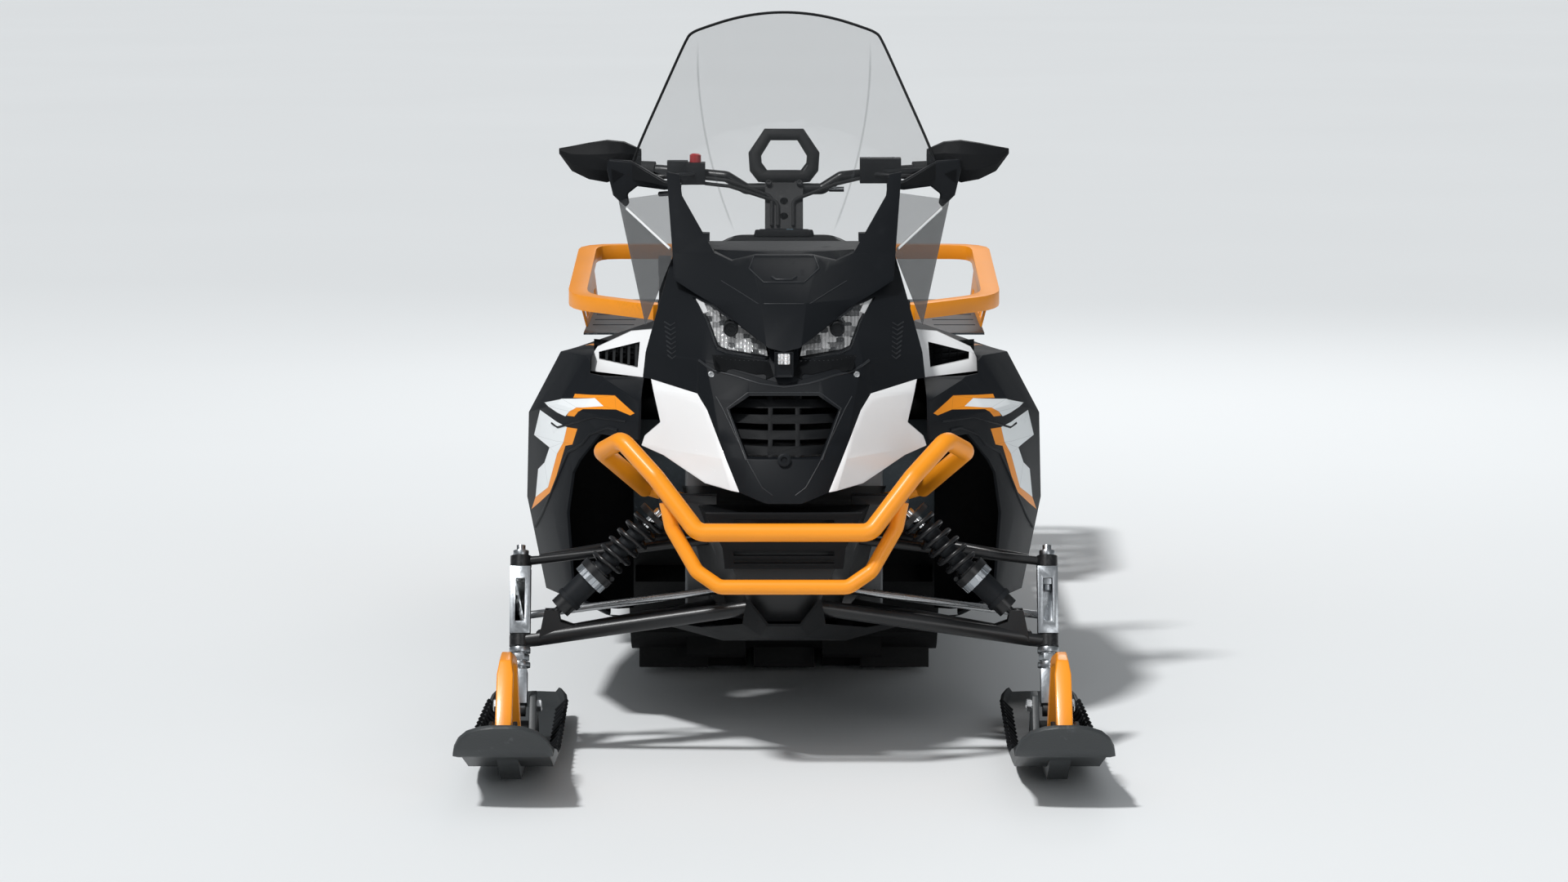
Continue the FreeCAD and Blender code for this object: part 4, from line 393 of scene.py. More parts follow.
# Stripes of the photograph on the side panels in orange and pale grey, distance from the middle and z
panelStripes = {
    "orange": (
        ((387, 614), (384, 621), (307, 631), (345, 621)),
        ((345, 621), (307, 631), (304, 608), (328, 610)),
        ((307, 631), (269, 607), (277, 602), (304, 608)),
        ((304, 608), (367, 600), (380, 600), (328, 610)),
        ((367, 600), (376, 594), (394, 590), (380, 600)),
        ((376, 594), (384, 583), (399, 581), (394, 590)),
        ((399, 560), (378, 562), (388, 531), (406, 531)),
        ((406, 531), (388, 531), (402, 525)),
        ((406, 531), (402, 525), (419, 506)),
        ((419, 506), (402, 525), (429, 436), (438, 438)),
        ((438, 438), (429, 436), (476, 378), (466, 407)),
    ),
    "pale": (
        ((410, 608), (345, 621), (328, 610), (380, 600)),
        ((410, 608), (380, 600), (394, 590), (447, 588)),
        ((447, 588), (394, 590), (402, 579), (409, 580)),
        ((456, 573), (399, 560), (406, 531), (469, 522)),
        ((469, 522), (406, 531), (435, 512)),
        ((406, 531), (419, 506), (435, 512)),
        ((435, 512), (419, 506), (438, 438), (446, 480)),
        ((446, 480), (438, 438), (466, 407), (460, 462)),
    ),
}
# The same stripes drawn out along the flank behind the widest place, in the side view, y and z
sideStripes = {
    "orange": (((-480, 530), (-480, 516), (-130, 462), (-110, 468)),),
    "pale": (((-480, 572), (-480, 536), (-190, 494), (-240, 540)),),
}


# Side panels: black plastic that wears the stripes on its outer side
def panelPlastic(name, look):
    finish = Finish(name, {"Specular IOR Level": 0.12})
    spot = finish.spot()
    flat, beside = finish.flat(abs(spot.out("X")), spot.out("Z")), finish.flat(spot.out("Y"), spot.out("Z"))
    facing = finish.add("ShaderNodeSeparateXYZ", None, {0: finish.add("ShaderNodeNewGeometry", output="Normal")})
    outward = facing.out("X") * spot.out("X").sign()
    outside = (outward - facing.out("Y") * 0.5 + facing.out("Z") * 0.5).rise(0.0, 0.02)
    ahead = 1 - spot.out("Y").rise(look["rear"] - 0.0006, look["rear"] + 0.0006)

    def stripes(color):
        front = anyOutline(finish, flat, panelStripes[color]) * ahead
        return front.most(anyOutline(finish, beside, sideStripes[color]) * (1 - ahead)) * outside

    orange, pale = stripes("orange"), stripes("pale")
    covered = orange.most(pale)
    clouds, grain, scuff = finish.moulded(look["grain"])
    tone = finish.tone(clouds, look["color"], 0.86, 1.14)
    striped = finish.paint(pale, finish.paint(orange, tone, look["orange"]), look["pale"])
    return finish.done({"Base Color": finish.paint(scuff * 0.08, striped, look["dust"]),
                        "Roughness": look["roughness"] + clouds * 0.08 - covered * 0.16},
                       grain * (1 - covered) + covered * 1.5, look["depth"])


addFinishes(panelPlastic, {"panelPlastic": {
    "color": (0.0068, 0.0082, 0.0105), "orange": (0.90, 0.30, 0.02, 1), "pale": (0.86, 0.89, 0.90, 1),
    "dust": (0.05, 0.054, 0.058, 1), "roughness": 0.5, "grain": 900, "depth": 0.0001, "rear": -0.44}})


# White vent frames, black inside the opening
def ventPlastic(name, look):
    finish = Finish(name, {"Specular IOR Level": 0.4, "Coat Weight": 0.3, "Coat Roughness": 0.15})
    spot = finish.spot()
    opening = anyOutline(finish, finish.flat(abs(spot.out("X")), spot.out("Z")), [look["opening"]])
    clouds = finish.noise(5, 3)
    return finish.done({"Base Color": finish.paint(opening, finish.tone(clouds, look["color"], 0.98, 1), look["slat"]),
                        "Roughness": look["roughness"] + opening * 0.2 + clouds * 0.05}, finish.noise(140), 0.00005)


addFinishes(ventPlastic, {"ventPlastic": {"color": (0.90, 0.905, 0.91), "roughness": 0.24,
                                          "slat": (0.006, 0.007, 0.008, 1),
                                          "opening": ((342, 692), (341, 680), (268, 672), (265, 715))}})


# Chrome and mirrors, with faint polishing haze
def brightMetal(name, look):
    finish = Finish(name, {"Metallic": 1.0})
    haze = finish.noise(look["haze"], 4)
    return finish.done({"Base Color": finish.tone(haze, look["color"], 0.85, 1),
                        "Roughness": look["roughness"] + haze * 0.1}, haze, look["depth"])


addFinishes(brightMetal, {
    "chrome": {"color": (0.74, 0.75, 0.76), "roughness": 0.06, "haze": 60, "depth": 0.0001},
    "mirrorGlass": {"color": (0.62, 0.66, 0.68), "roughness": 0.01, "haze": 3, "depth": 0.00002},
})


# Lamp lens: clear and glossy, with a faint rim of its own
def lampGlass(name, look):
    finish = Finish(name, {"Base Color": look["color"], "Roughness": 0.03, "IOR": 1.5})
    haze = finish.noise(40, 3)
    gloss = finish.add("ShaderNodeFresnel", None, {"IOR": 1.4})
    return finish.done({"Alpha": look["cover"] + gloss * look["gloss"] + haze * 0.02, "Roughness": haze * 0.05 + 0.02})


addFinishes(lampGlass, {"lampGlass": {"color": (0.05, 0.055, 0.06, 1), "cover": 0.02, "gloss": 0.16}})


# Fluted reflector: upright flutes and low steps in bright metal, with painted highlights along the flutes and blocks
# and a painted glow
def flutedChrome(name, look):
    finish = Finish(name, {"Metallic": 0.6, "Emission Strength": look["glow"]})
    spot = finish.spot()
    flutes = (spot.out("X") * look["flutes"]).sine()
    steps = (spot.out("Z") * look["steps"] + flutes * 0.8).sine()
    blocks, blockGlints = finish.blocks(look["blocks"], 0.5)
    # Dark to light by block and flute: painted highlights, also given out as a painted glow
    lit = finish.paint(blockGlints.out("Red").rise(0.2, 0.8) * (0.6 + 0.4 * abs(flutes)), look["dark"], look["light"])
    return finish.done({"Base Color": lit, "Emission Color": lit, "Roughness": 0.05 + blockGlints.out("Green") * 0.12},
                       abs(flutes) + abs(steps) * 0.5 + blockGlints.out("Blue") * 0.7, look["depth"])


# The reflectors glow a little: painted glow
addFinishes(flutedChrome, {"fluted": {"flutes": 470, "steps": 420, "blocks": (72, 1, 120), "depth": 0.0030,
                                      "dark": (0.10, 0.105, 0.11, 1), "light": (0.92, 0.93, 0.94, 1),
                                      "glow": 0.26}})


# Display glass: near black, with faint lit segments in rows
def displayGlass(name, look):
    finish = Finish(name, {"Coat Weight": 1.0, "Coat Roughness": 0.02, "Emission Strength": 0.35})
    rows = finish.cells(1, finish.stretched(look["rows"])).rise(0.2, 0.24)
    return finish.done({"Base Color": finish.paint(rows, look["lit"], look["color"]), "Roughness": 0.1 + rows * 0.05,
                        "Emission Color": finish.paint(rows, look["lit"], (0, 0, 0, 1))})


addFinishes(displayGlass, {"display": {"color": (0.008, 0.010, 0.013, 1), "lit": (0.10, 0.16, 0.20, 1),
                                       "rows": (70, 110, 110)}})
print("materials made:", len(finishes))

# Which finish each node of the frame wears
wearers = {
    "rubber": "track snow_flap grips control_cables",
    "blackPlastic": "drive_axle front_fascia hood windshield_base",
    "softBlack": "idler_wheels belly_pan grille mirrors intake_grille bar_controls starter_grip",
    "dashSoft": "console gauge",
    "whitePlastic": "cheek_panels",
    "orangePlastic": "ski_loop_left ski_loop_right",
    "skiPlastic": "ski_left ski_right",
    "panelPlastic": "side_panel_left side_panel_right",
    "ventPlastic": "vent_frames",
    "aluminiumSheet": "slide_rails tunnel running_boards rack_plate",
    "blackSteel": "rear_suspension_arms hitch front_frame lower_arms upper_arms front_dampers front_springs "
                  "handlebar steering_column steering_bearing",
    "orangeSteel": "rack_hoop bumper",
    "castAluminium": "spindle_left spindle_right",
    "steel": "tie_rod_left tie_rod_right",
    "engineMetal": "engine",
    "seatVinyl": "driver_seat passenger_seat",
    "redLens": "tail_lamp",
    "reflector": "headlights",
    "screen": "windshield",
    "wing": "side_wings",
}
nodeFinish = {node: finishName for finishName, names in wearers.items() for node in names.split()}
for node, finishName in nodeFinish.items():
    nodes[node].data.materials.clear()
    nodes[node].data.materials.append(finishes[finishName])


def pick(piece):
    bpy.ops.object.select_all(action="DESELECT")
    piece.select_set(True)
    bpy.context.view_layer.objects.active = piece


# Edit mode on the whole of a piece
@contextmanager
def wholeOf(piece):
    pick(piece)
    bpy.ops.object.mode_set(mode="EDIT")
    bpy.ops.mesh.select_all(action="SELECT")
    yield
    bpy.ops.object.mode_set(mode="OBJECT")


# Edit mode on the faces that pass a test of their number and their normal
@contextmanager
def facesOf(piece, test):
    pick(piece)
    bpy.ops.object.mode_set(mode="EDIT")
    bpy.ops.mesh.select_mode(type="FACE")
    bpy.ops.mesh.select_all(action="DESELECT")
    bpy.ops.object.mode_set(mode="OBJECT")
    for number, face in enumerate(piece.data.polygons):
        face.select = test(number, face.normal)
    bpy.ops.object.mode_set(mode="EDIT")
    yield
    bpy.ops.object.mode_set(mode="OBJECT")


# Insets one after another on the faces that pass a test: how far in and how deep
def insetFaces(piece, test, *steps):
    with facesOf(piece, test):
        for thickness, depth in steps:
            bpy.ops.mesh.inset(thickness=thickness, depth=depth)
    return piece


def applyModifier(piece, kind, settings):
    pick(piece)
    modifier = piece.modifiers.new(kind.title(), kind)
    for name, value in settings.items():
        setattr(modifier, name, value)
    bpy.ops.object.modifier_apply(modifier=modifier.name)


def bevelled(piece, width, segments=2, **more):
    applyModifier(piece, "BEVEL", {"width": width, "segments": segments, "limit_method": "ANGLE", **more})
    return piece


def thickened(piece, thickness, offset=0):
    applyModifier(piece, "SOLIDIFY", {"thickness": thickness, "offset": offset})
    return piece


def smoothed(piece, degrees):
    pick(piece)
    bpy.ops.object.shade_smooth_by_angle(angle=math.radians(degrees))
    return piece


def outwards(piece):
    with wholeOf(piece):
        bpy.ops.mesh.normals_make_consistent(inside=False)
    return piece


# The primitive just added, with its place, turn and size made its own
def baked(scale=(1, 1, 1)):
    piece = bpy.context.active_object
    piece.scale = scale
    bpy.ops.object.transform_apply(location=True, rotation=True, scale=True)
    return piece


def joined(pieces, name):
    bpy.ops.object.select_all(action="DESELECT")
    for piece in pieces:
        piece.select_set(True)
    bpy.context.view_layer.objects.active = pieces[0]
    if len(pieces) > 1:
        bpy.ops.object.join()
    pieces[0].name = name
    return pieces[0]


# Joins pieces to one and puts it on its body; what it stands for is hidden
def settle(pieces, name, finishName, body="chassis", stands=()):
    piece = joined(pieces, name)
    piece.data.materials.clear()
    piece.data.materials.append(finishes[finishName])
    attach(piece, body)
    if stands:
        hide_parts(*stands)
    return piece


# Copies of nodes: how near points merge, the angle that still counts as flat, the sharp one and the smooth one
copyLook = {"merge": 0.00002, "flat": 0.8, "sharp": 28, "smooth": 32}


def mergedCopy(node, flatten=False):
    piece = bpy.data.objects.new("copy", nodes[node].data.copy())
    bpy.context.scene.collection.objects.link(piece)
    with wholeOf(piece):
        bpy.ops.mesh.remove_doubles(threshold=copyLook["merge"])
        if flatten:
            bpy.ops.mesh.dissolve_limited(angle_limit=math.radians(copyLook["flat"]))
    return piece


# A copy with its facets merged and its edges rounded off, as moulding and deburring leave them
def roundedCopy(node, width):
    piece = mergedCopy(node, True)
    bevelled(piece, width, angle_limit=math.radians(copyLook["sharp"]), harden_normals=False,
             miter_outer="MITER_ARC", use_clamp_overlap=True)
    return smoothed(piece, copyLook["smooth"])


edgeRounding = {
    # node: radius in metres
    "hood": 0.003, "front_fascia": 0.0025, "cheek_panels": 0.0025, "grille": 0.0015, "windshield_base": 0.003,
    "side_panel_left": 0.0025, "side_panel_right": 0.0025, "vent_frames": 0.002, "console": 0.004, "gauge": 0.006,
    "intake_grille": 0.0015, "belly_pan": 0.002, "spindle_left": 0.0025, "spindle_right": 0.0025,
    "ski_loop_left": 0.0025, "ski_loop_right": 0.0025, "rack_hoop": 0.004, "hitch": 0.002,
    "steering_bearing": 0.002, "bar_controls": 0.003, "mirrors": 0.006, "front_frame": 0.003, "tunnel": 0.002,
    "tail_lamp": 0.004, "engine": 0.006,
}
for node, width in edgeRounding.items():
    settle([roundedCopy(node, width)], node + "Body", nodeFinish[node], bodyOf[node], [node])
print("panels rounded:", len(edgeRounding))

# Sides from which a piece is met: its right, its up and the way of looking
looks = {
    "front": ((1, 0, 0), (0, 0, 1), (0, 1, 0)),
    "back": ((1, 0, 0), (0, 0, 1), (0, -1, 0)),
    "top": ((1, 0, 0), (0, 1, 0), (0, 0, -1)),
    "left": ((0, 1, 0), (0, 0, 1), (1, 0, 0)),
    "right": ((0, 1, 0), (0, 0, 1), (-1, 0, 0)),
}
farOff = 3


# Points of a flat view laid on the surfaces they meet; a miss takes the mean depth of the rest
def laidOn(targets, side, points, lift=0.0):
    right, up, look = (Vector(axis) for axis in looks[side])
    depths = []
    for u, v in points:
        start = right * u + up * v - look * farOff
        hits = [target.ray_cast(start, look) for target in targets]
        depths.append(min([hit[1].dot(look) for hit in hits if hit[0]], default=None))
    known = [depth for depth in depths if depth is not None]
    mean = sum(known) / len(known)
    return [right * u + up * v + look * ((mean if depth is None else depth) - lift)
            for (u, v), depth in zip(points, depths)]


# Points in mm as metres, mirrored over the middle where side is -1
def inMetres(points, side=1):
    return [(side * u / 1000, v / 1000) for u, v in points]


# A line from its left half, which ends at the middle or short of it
def arched(half):
    return list(half) + [(-x, z) for x, z in reversed(half) if x]


def stepped(points, step, closed=False):
    corners = list(points) + ([points[0]] if closed else [])
    walk = []
    for (u0, v0), (u1, v1) in zip(corners, corners[1:]):
        count = max(1, int(math.hypot(u1 - u0, v1 - v0) / step))
        walk += [(u0 + (u1 - u0) * part / count, v0 + (v1 - v0) * part / count) for part in range(count)]
    return walk if closed else walk + [corners[-1]]


def pieceFrom(points, faces):
    mesh = bpy.data.meshes.new("piece")
    mesh.from_pydata([tuple(point) for point in points], [], faces)
    piece = bpy.data.objects.new("piece", mesh)
    bpy.context.scene.collection.objects.link(piece)
    return piece


# Faces between rows of points, each row count long; closed rows run round
def gridFaces(rows, count, closed=False):
    faces = []
    for start in range(0, (rows - 1) * count, count):
        for index in range(count if closed else count - 1):
            following = (index + 1) % count
            faces.append([start + index, start + following, start + count + following, start + count + index])
    return faces


# A closed plate between an outline and its copy farther on
def plateFrom(front, rear):
    count = len(front)
    caps = [list(range(count))[::-1], list(range(count, 2 * count))]
    return outwards(pieceFrom(front + rear, gridFaces(2, count, True) + caps))


# A side outline in mm made into a plate from one x to another, with its edges rounded
def sidePlate(outline, x0, x1, edge=0.0, segments=2):
    piece = plateFrom(*([(x / 1000, y / 1000, z / 1000) for y, z in outline] for x in (x0, x1)))
    return bevelled(piece, edge, segments) if edge else piece


patchLook = {"step": 0.008, "cuts": 2, "smooth": 40}


# A thin patch laid on a surface inside an outline, thick towards the viewer
def surfacePatch(targets, side, outline, lift, thickness, depthAt=None):
    flat = stepped(outline, patchLook["step"], True)
    piece = pieceFrom([(u, v, 0) for u, v in flat], [list(range(len(flat)))])
    with wholeOf(piece):
        bpy.ops.mesh.quads_convert_to_tris(ngon_method="BEAUTY")
        bpy.ops.mesh.subdivide(number_cuts=patchLook["cuts"])
    places = laidOn(targets, side, [(spot.co.x, spot.co.y) for spot in piece.data.vertices], lift)
    look = Vector(looks[side][2])
    for spot, place in zip(piece.data.vertices, places):
        spot.co = place + look * (depthAt(spot.co.x, spot.co.y) if depthAt else 0)
    outwards(piece)
    if piece.data.polygons[0].normal.dot(look) > 0:
        piece.data.flip_normals()
    return smoothed(thickened(piece, thickness), patchLook["smooth"])


# The same patch on the right and the left, outline in mm
def patchPair(targets, side, outline, lift, thickness, depthAt=None):
    return [surfacePatch(targets, side, inMetres(outline, hand), lift, thickness, depthAt) for hand in (1, -1)]


# Round tube along points, made as a curve and then turned into a mesh
def tubeAlong(points, radius, sides=8, closed=False, smooth=False):
    line = bpy.data.curves.new("line", "CURVE")
    line.dimensions = "3D"
    line.bevel_depth = radius
    line.bevel_resolution = sides // 4
    line.use_fill_caps = True
    spline = line.splines.new("NURBS" if smooth else "POLY")
    spline.points.add(len(points) - 1)
    for spot, place in zip(spline.points, points):
        spot.co = (*place, 1)
    if smooth:
        spline.order_u = 3
        spline.use_endpoint_u = not closed
    spline.use_cyclic_u = closed
    holder = bpy.data.objects.new("line", line)
    bpy.context.scene.collection.objects.link(holder)
    pick(holder)
    bpy.ops.object.convert(target="MESH")
    return smoothed(bpy.context.active_object, 50)


# Line of a seam, crease or piping laid on surfaces
def seamLine(targets, side, points, radius, sink):
    return tubeAlong(laidOn(targets, side, stepped(points, 0.012), -sink), radius)


# Copies of a model at places with an axis and a size, as one piece; the model goes
def copiesAt(model, placings):
    made = []
    for place, axis, scale in placings:
        turn = Vector((0, 0, 1)).rotation_difference(Vector(axis)).to_matrix().to_4x4()
        mesh = model.data.copy()
        mesh.transform(Matrix.Translation(place) @ turn @ Matrix.Diagonal((*scale, 1)))
        copy = bpy.data.objects.new("copy", mesh)
        bpy.context.scene.collection.objects.link(copy)
        made.append(copy)
    bpy.data.objects.remove(model)
    return joined(made, "copies")


# Bolt heads from one unit model along +Z: round with a socket, or with six sides
def boltsAt(name, placings, finishName="steel", body="chassis", vertices=20):
    bpy.ops.mesh.primitive_cylinder_add(vertices=vertices, radius=1, depth=1, location=(0, 0, 0.5))
    model = insetFaces(baked(), lambda number, normal: normal.z > 0.9, (0.22, 0.18), (0.28, 0), (0.04, -0.5))
    settle([copiesAt(smoothed(model, 35), placings)], name, finishName, body)


bodyPiece = bpy.data.objects
noseBodies = [bodyPiece[name + "Body"] for name in ("hood", "front_fascia", "cheek_panels", "windshield_base")]
hoodBody = [bodyPiece["hoodBody"]]
flanks = {1: bodyPiece["side_panel_rightBody"], -1: bodyPiece["side_panel_leftBody"]}

# Screen trim: the black edge band from one mirror over the top to the other
trimLook = {"radius": 0.0026, "inward": 0.992, "below": 0.004, "missed": -0.3, "behind": 0.002, "down": 0.002,
            "half": ((-0.282, 1.036), (-0.276, 1.056), (-0.230, 1.158), (-0.186, 1.256), (-0.176, 1.268),
                     (-0.15, 1.2777), (-0.10, 1.2934), (-0.05, 1.3028), (0, 1.306))}


def makeScreenTrim():
    points = []
    for x, z in arched(trimLook["half"]):
        start = Vector((x * trimLook["inward"], -farOff, z - trimLook["below"]))
        hit, place, normal, face = nodes["windshield"].ray_cast(start, Vector((0, 1, 0)))
        points.append((x, (place.y if hit else trimLook["missed"]) + trimLook["behind"], z - trimLook["down"]))
    settle([tubeAlong(points, trimLook["radius"], smooth=True)], "screenTrim", "softBlack")


makeScreenTrim()
print("screen trim laid")

# Headlights: a black housing, a fluted bowl round the bulb's disc, an accent strip and a clear lens
lampLook = {
    "outline": ((-162, 811), (-124, 801), (-29, 741), (-24, 717), (-104, 725), (-120, 732), (-138, 774)),
    "bowl": ((-156, 806), (-124, 796), (-33, 739), (-29, 722), (-103, 729), (-117, 735), (-134, 774)),
    "accent": ((-159, 809), (-144, 805), (-136, 790), (-146, 786)), "accentBack": 0.006,
    "bulb": (-95, 765), "bulbRadius": 0.0134, "bulbLong": 0.05, "bulbBack": 0.030, "bowlDepth": 0.034,
    "bowlReach": 0.075, "setBack": 0.016, "thick": 0.002, "glassLift": 0.0005, "wallStep": 0.01, "wallBack": 0.002,
    "wallDeep": 0.07, "wallThick": 0.003, "bulbSteps": ((0.002, 0.0015), (0.003, -0.001)),
}


def facesViewer(number, normal):
    return normal.y < -0.9


def makeHeadlights():
    lamp, thick = [nodes["headlights"]], lampLook["thick"]
    bulbX, bulbZ = inMetres([lampLook["bulb"]])[0]

    def bowlDepth(u, v):
        away = math.hypot(abs(u) + bulbX, v - bulbZ) / lampLook["bowlReach"]
        return lampLook["bowlDepth"] * max(0, 1 - away * away)

    glasses = patchPair(lamp, "front", lampLook["outline"], lampLook["glassLift"], thick)
    bowls = patchPair(lamp, "front", lampLook["bowl"], -lampLook["setBack"], thick, bowlDepth)
    accents = patchPair(lamp, "front", lampLook["accent"], -lampLook["accentBack"], thick)
    housings, bulbs = [], []
    for side in (1, -1):
        wall = stepped(inMetres(lampLook["outline"], side), lampLook["wallStep"], True)
        front = laidOn(lamp, "front", wall, -lampLook["wallBack"])
        rear = [place + Vector((0, lampLook["wallDeep"], 0)) for place in front]
        count = len(wall)
        housing = pieceFrom(front + rear, gridFaces(2, count, True) + [list(range(count, 2 * count))])
        housings.append(thickened(housing, lampLook["wallThick"]))
        centre = laidOn(lamp, "front", inMetres([lampLook["bulb"]], side))[0]
        bpy.ops.mesh.primitive_cylinder_add(vertices=28, radius=lampLook["bulbRadius"], depth=lampLook["bulbLong"],
                                            location=centre + Vector((0, lampLook["bulbBack"], 0)),
                                            rotation=(math.radians(90), 0, 0))
        bulbs.append(insetFaces(baked(), facesViewer, *lampLook["bulbSteps"]))
    settle(housings, "lampHousings", "blackPlastic", stands=["headlights"])
    settle(bowls, "lampReflectors", "fluted")
    settle(accents, "lampAccents", "whitePlastic")
    settle(bulbs, "lampBulbs", "softBlack")
    settle(glasses, "lampGlasses", "lampGlass")


# Centre lamp under the beak: a black block with a clear prism in its upper half
centreLook = {"block": ((0, -1.072, 0.7115), (0.034, 0.050, 0.045)), "sunk": (0.004, -0.003), "blockEdge": 0.002,
              "prism": ((0, -1.088, 0.722), (0.026, 0.024, 0.019)), "pivot": (0, -1.1, 0.722), "narrowed": 0.75,
              "prismEdge": 0.0015}


def makeCentreLamp():
    def cubeAt(place, size):
        bpy.ops.mesh.primitive_cube_add(size=1, location=place)
        return baked(size)

    block = insetFaces(cubeAt(*centreLook["block"]), facesViewer, centreLook["sunk"])
    settle([bevelled(block, centreLook["blockEdge"])], "centreLampBlock", "blackPlastic")
    prism = cubeAt(*centreLook["prism"])
    with facesOf(prism, facesViewer):
        bpy.ops.transform.resize(value=(centreLook["narrowed"], 1, 1), center_override=centreLook["pivot"])
    settle([bevelled(prism, centreLook["prismEdge"])], "centreLampPrism", "fluted")


makeHeadlights()
makeCentreLamp()
print("lamps made")

# Creases, lips and seams of the nose in the front view, as left halves with their radius, in mm
noseLook = {
    # lines that cross the middle: lip, grille rim, hood seam, the hood's recess above and below, its slot
    "arches": (
        (((-151, 712), (-123, 696), (-87, 689), (-43, 677), (0, 671)), 2.4),
        (((-64, 662),), 1.6),
        (((-113, 842), (-47, 811)), 1.0),
        (((-63, 863), (-54, 883)), 1.5),
        (((-63, 863), (-37, 843)), 1.5),
        (((-22, 851), (-14, 847)), 2.2),
    ),
    # lines with a twin on the other side: fascia crease, grille rim
    "pairs": (
        (((-120, 654), (-108, 634), (-62, 545), (-38, 505), (-20, 492)), 1.3),
        (((-64, 662), (-101, 635), (-67, 550)), 1.6),
    ),
}


def makeNoseLines():
    lines = [(inMetres(arched(half)), radius) for half, radius in noseLook["arches"]]
    lines += [(inMetres(half, side), radius) for half, radius in noseLook["pairs"] for side in (1, -1)]
    # The creases are in the lighter lip plastic, a painted highlight
    settle([seamLine(noseBodies, "front", points, radius / 1000, radius / 2500) for points, radius in lines],
           "noseCreases", "lipPlastic")


# Ribbed band between the lamps and the fascia's lip, in the front view, in mm
ribLook = {"first": -126, "last": -30, "count": 13, "radius": 0.0026, "foot": 698, "footAt": -123, "footSlope": -0.20,
           "top": 716, "topAt": -100, "topSlope": -0.35, "highest": 721, "bandLift": 0.0008, "bandThick": 0.0016,
           "band": ((-128, 722), (-105, 723), (-26, 713), (-18, 690), (-43, 680), (-87, 692), (-122, 699))}


def makeRibs():
    settle(patchPair(hoodBody, "front", ribLook["band"], ribLook["bandLift"], ribLook["bandThick"]), "lampBand",
           "dashSoft")
    ribs = []
    for number in range(ribLook["count"]):
        x = ribLook["first"] + (ribLook["last"] - ribLook["first"]) * number / (ribLook["count"] - 1)
        foot = ribLook["foot"] + (x - ribLook["footAt"]) * ribLook["footSlope"]
        top = min(ribLook["highest"], ribLook["top"] + min(0, x - ribLook["topAt"]) * ribLook["topSlope"])
        for side in (1, -1):
            ends = laidOn(hoodBody, "front", inMetres([(x, foot), (x, top)], side))
            ribs.append(tubeAlong(ends, ribLook["radius"]))
    # The ribs are in the lighter lip plastic, a painted highlight
    settle(ribs, "lampRibs", "lipPlastic")


# Screws of the fascia and the bare boss on the grille, which has its place, its axis and its size
screwLook = {"spots": ((-129, 690), (129, 690)), "sunk": 0.0005, "axis": (0, -0.92, 0.38),
             "size": (0.0055, 0.0055, 0.003), "boss": ((0, -1.172, 0.551), (0, -0.97, 0.24), (0.0115, 0.0115, 0.006))}


def makeScrews():
    spots = laidOn(noseBodies, "front", inMetres(screwLook["spots"]), -screwLook["sunk"])
    boltsAt("fasciaScrews", [(spot, screwLook["axis"], screwLook["size"]) for spot in spots])
    boltsAt("grilleBoss", [screwLook["boss"]], "blackPlastic", vertices=32)


makeNoseLines()
makeRibs()
makeScrews()
print("nose dressed")

# Glass of the mirrors on the rider's side, and the display on the gauge
mirrorOutline = ((-410, 1048), (-325, 1064), (-290, 1052), (-284, 1030), (-330, 1006), (-395, 1018))
displayOutline = ((-46, -402), (46, -402), (48, -362), (-48, -362))
settle(patchPair([bodyPiece["mirrorsBody"]], "back", mirrorOutline, 0.001, 0.002), "mirrorGlass", "mirrorGlass")
settle([surfacePatch([bodyPiece["gaugeBody"]], "top", inMetres(displayOutline), 0.0012, 0.002)], "gaugeDisplay",
       "display")

# Front dampers from the lower to the upper eye: a notched silver collar under the spring, a bright rod above it
# and a thick black sleeve with a rolled end; the collar and the sleeve's parts stand at shares of the length
damperLook = {"ends": ((-0.414, -1.062, 0.258), (-0.205, -1.042, 0.458)), "collarAt": 0.352, "collarRadius": 0.0280,
              "collarDepth": 0.024, "rodFrom": 0.80, "rodTo": 0.93, "rodRadius": 0.0095, "teeth": 12, "tooth": 0.09,
              "sleeves": ((0.15, 0.345, 0.0222), (0.135, 0.165, 0.0245), (0.375, 0.79, 0.0165))}


def damperEnds(side):
    return [Vector((side * x, y, z)) for x, y, z in damperLook["ends"]]


def makeDampers():
    wide, thin = damperLook["collarRadius"], damperLook["rodRadius"]
    first, last = damperLook["rodFrom"], damperLook["rodTo"]
    collars, rods = [], []
    for side in (1, -1):
        low, top = damperEnds(side)
        axis, long = (top - low).normalized(), (top - low).length
        collars.append((low + axis * long * damperLook["collarAt"], axis, (wide, wide, damperLook["collarDepth"])))
        rods.append((low + axis * long * ((first + last) / 2), axis, (thin, thin, long * (last - first))))
    bpy.ops.mesh.primitive_cylinder_add(vertices=2 * damperLook["teeth"], radius=1, depth=1, location=(0, 0, 0))
    collar = bpy.context.active_object
    with facesOf(collar, lambda number, normal: abs(normal.z) < 0.1 and number % 2 == 0):
        bpy.ops.mesh.extrude_region_shrink_fatten(TRANSFORM_OT_shrink_fatten={"value": damperLook["tooth"]})
    settle([copiesAt(collar, collars)], "damperCollars", "castAluminium")
    bpy.ops.mesh.primitive_cylinder_add(vertices=24, radius=1, depth=1, location=(0, 0, 0))
    shaft = insetFaces(bpy.context.active_object, lambda number, normal: abs(normal.z) > 0.9, (0.12, 0.02))
    settle([smoothed(copiesAt(shaft, rods), 35)], "damperRods", "chrome")


# Red kill cap: a mushroom over the switch
capLook = {"place": (-0.173, -0.102, 1.0125), "radius": 0.0112, "deep": 0.014,
           "steps": ((0.003, 0.002), (0.003, 0.001))}


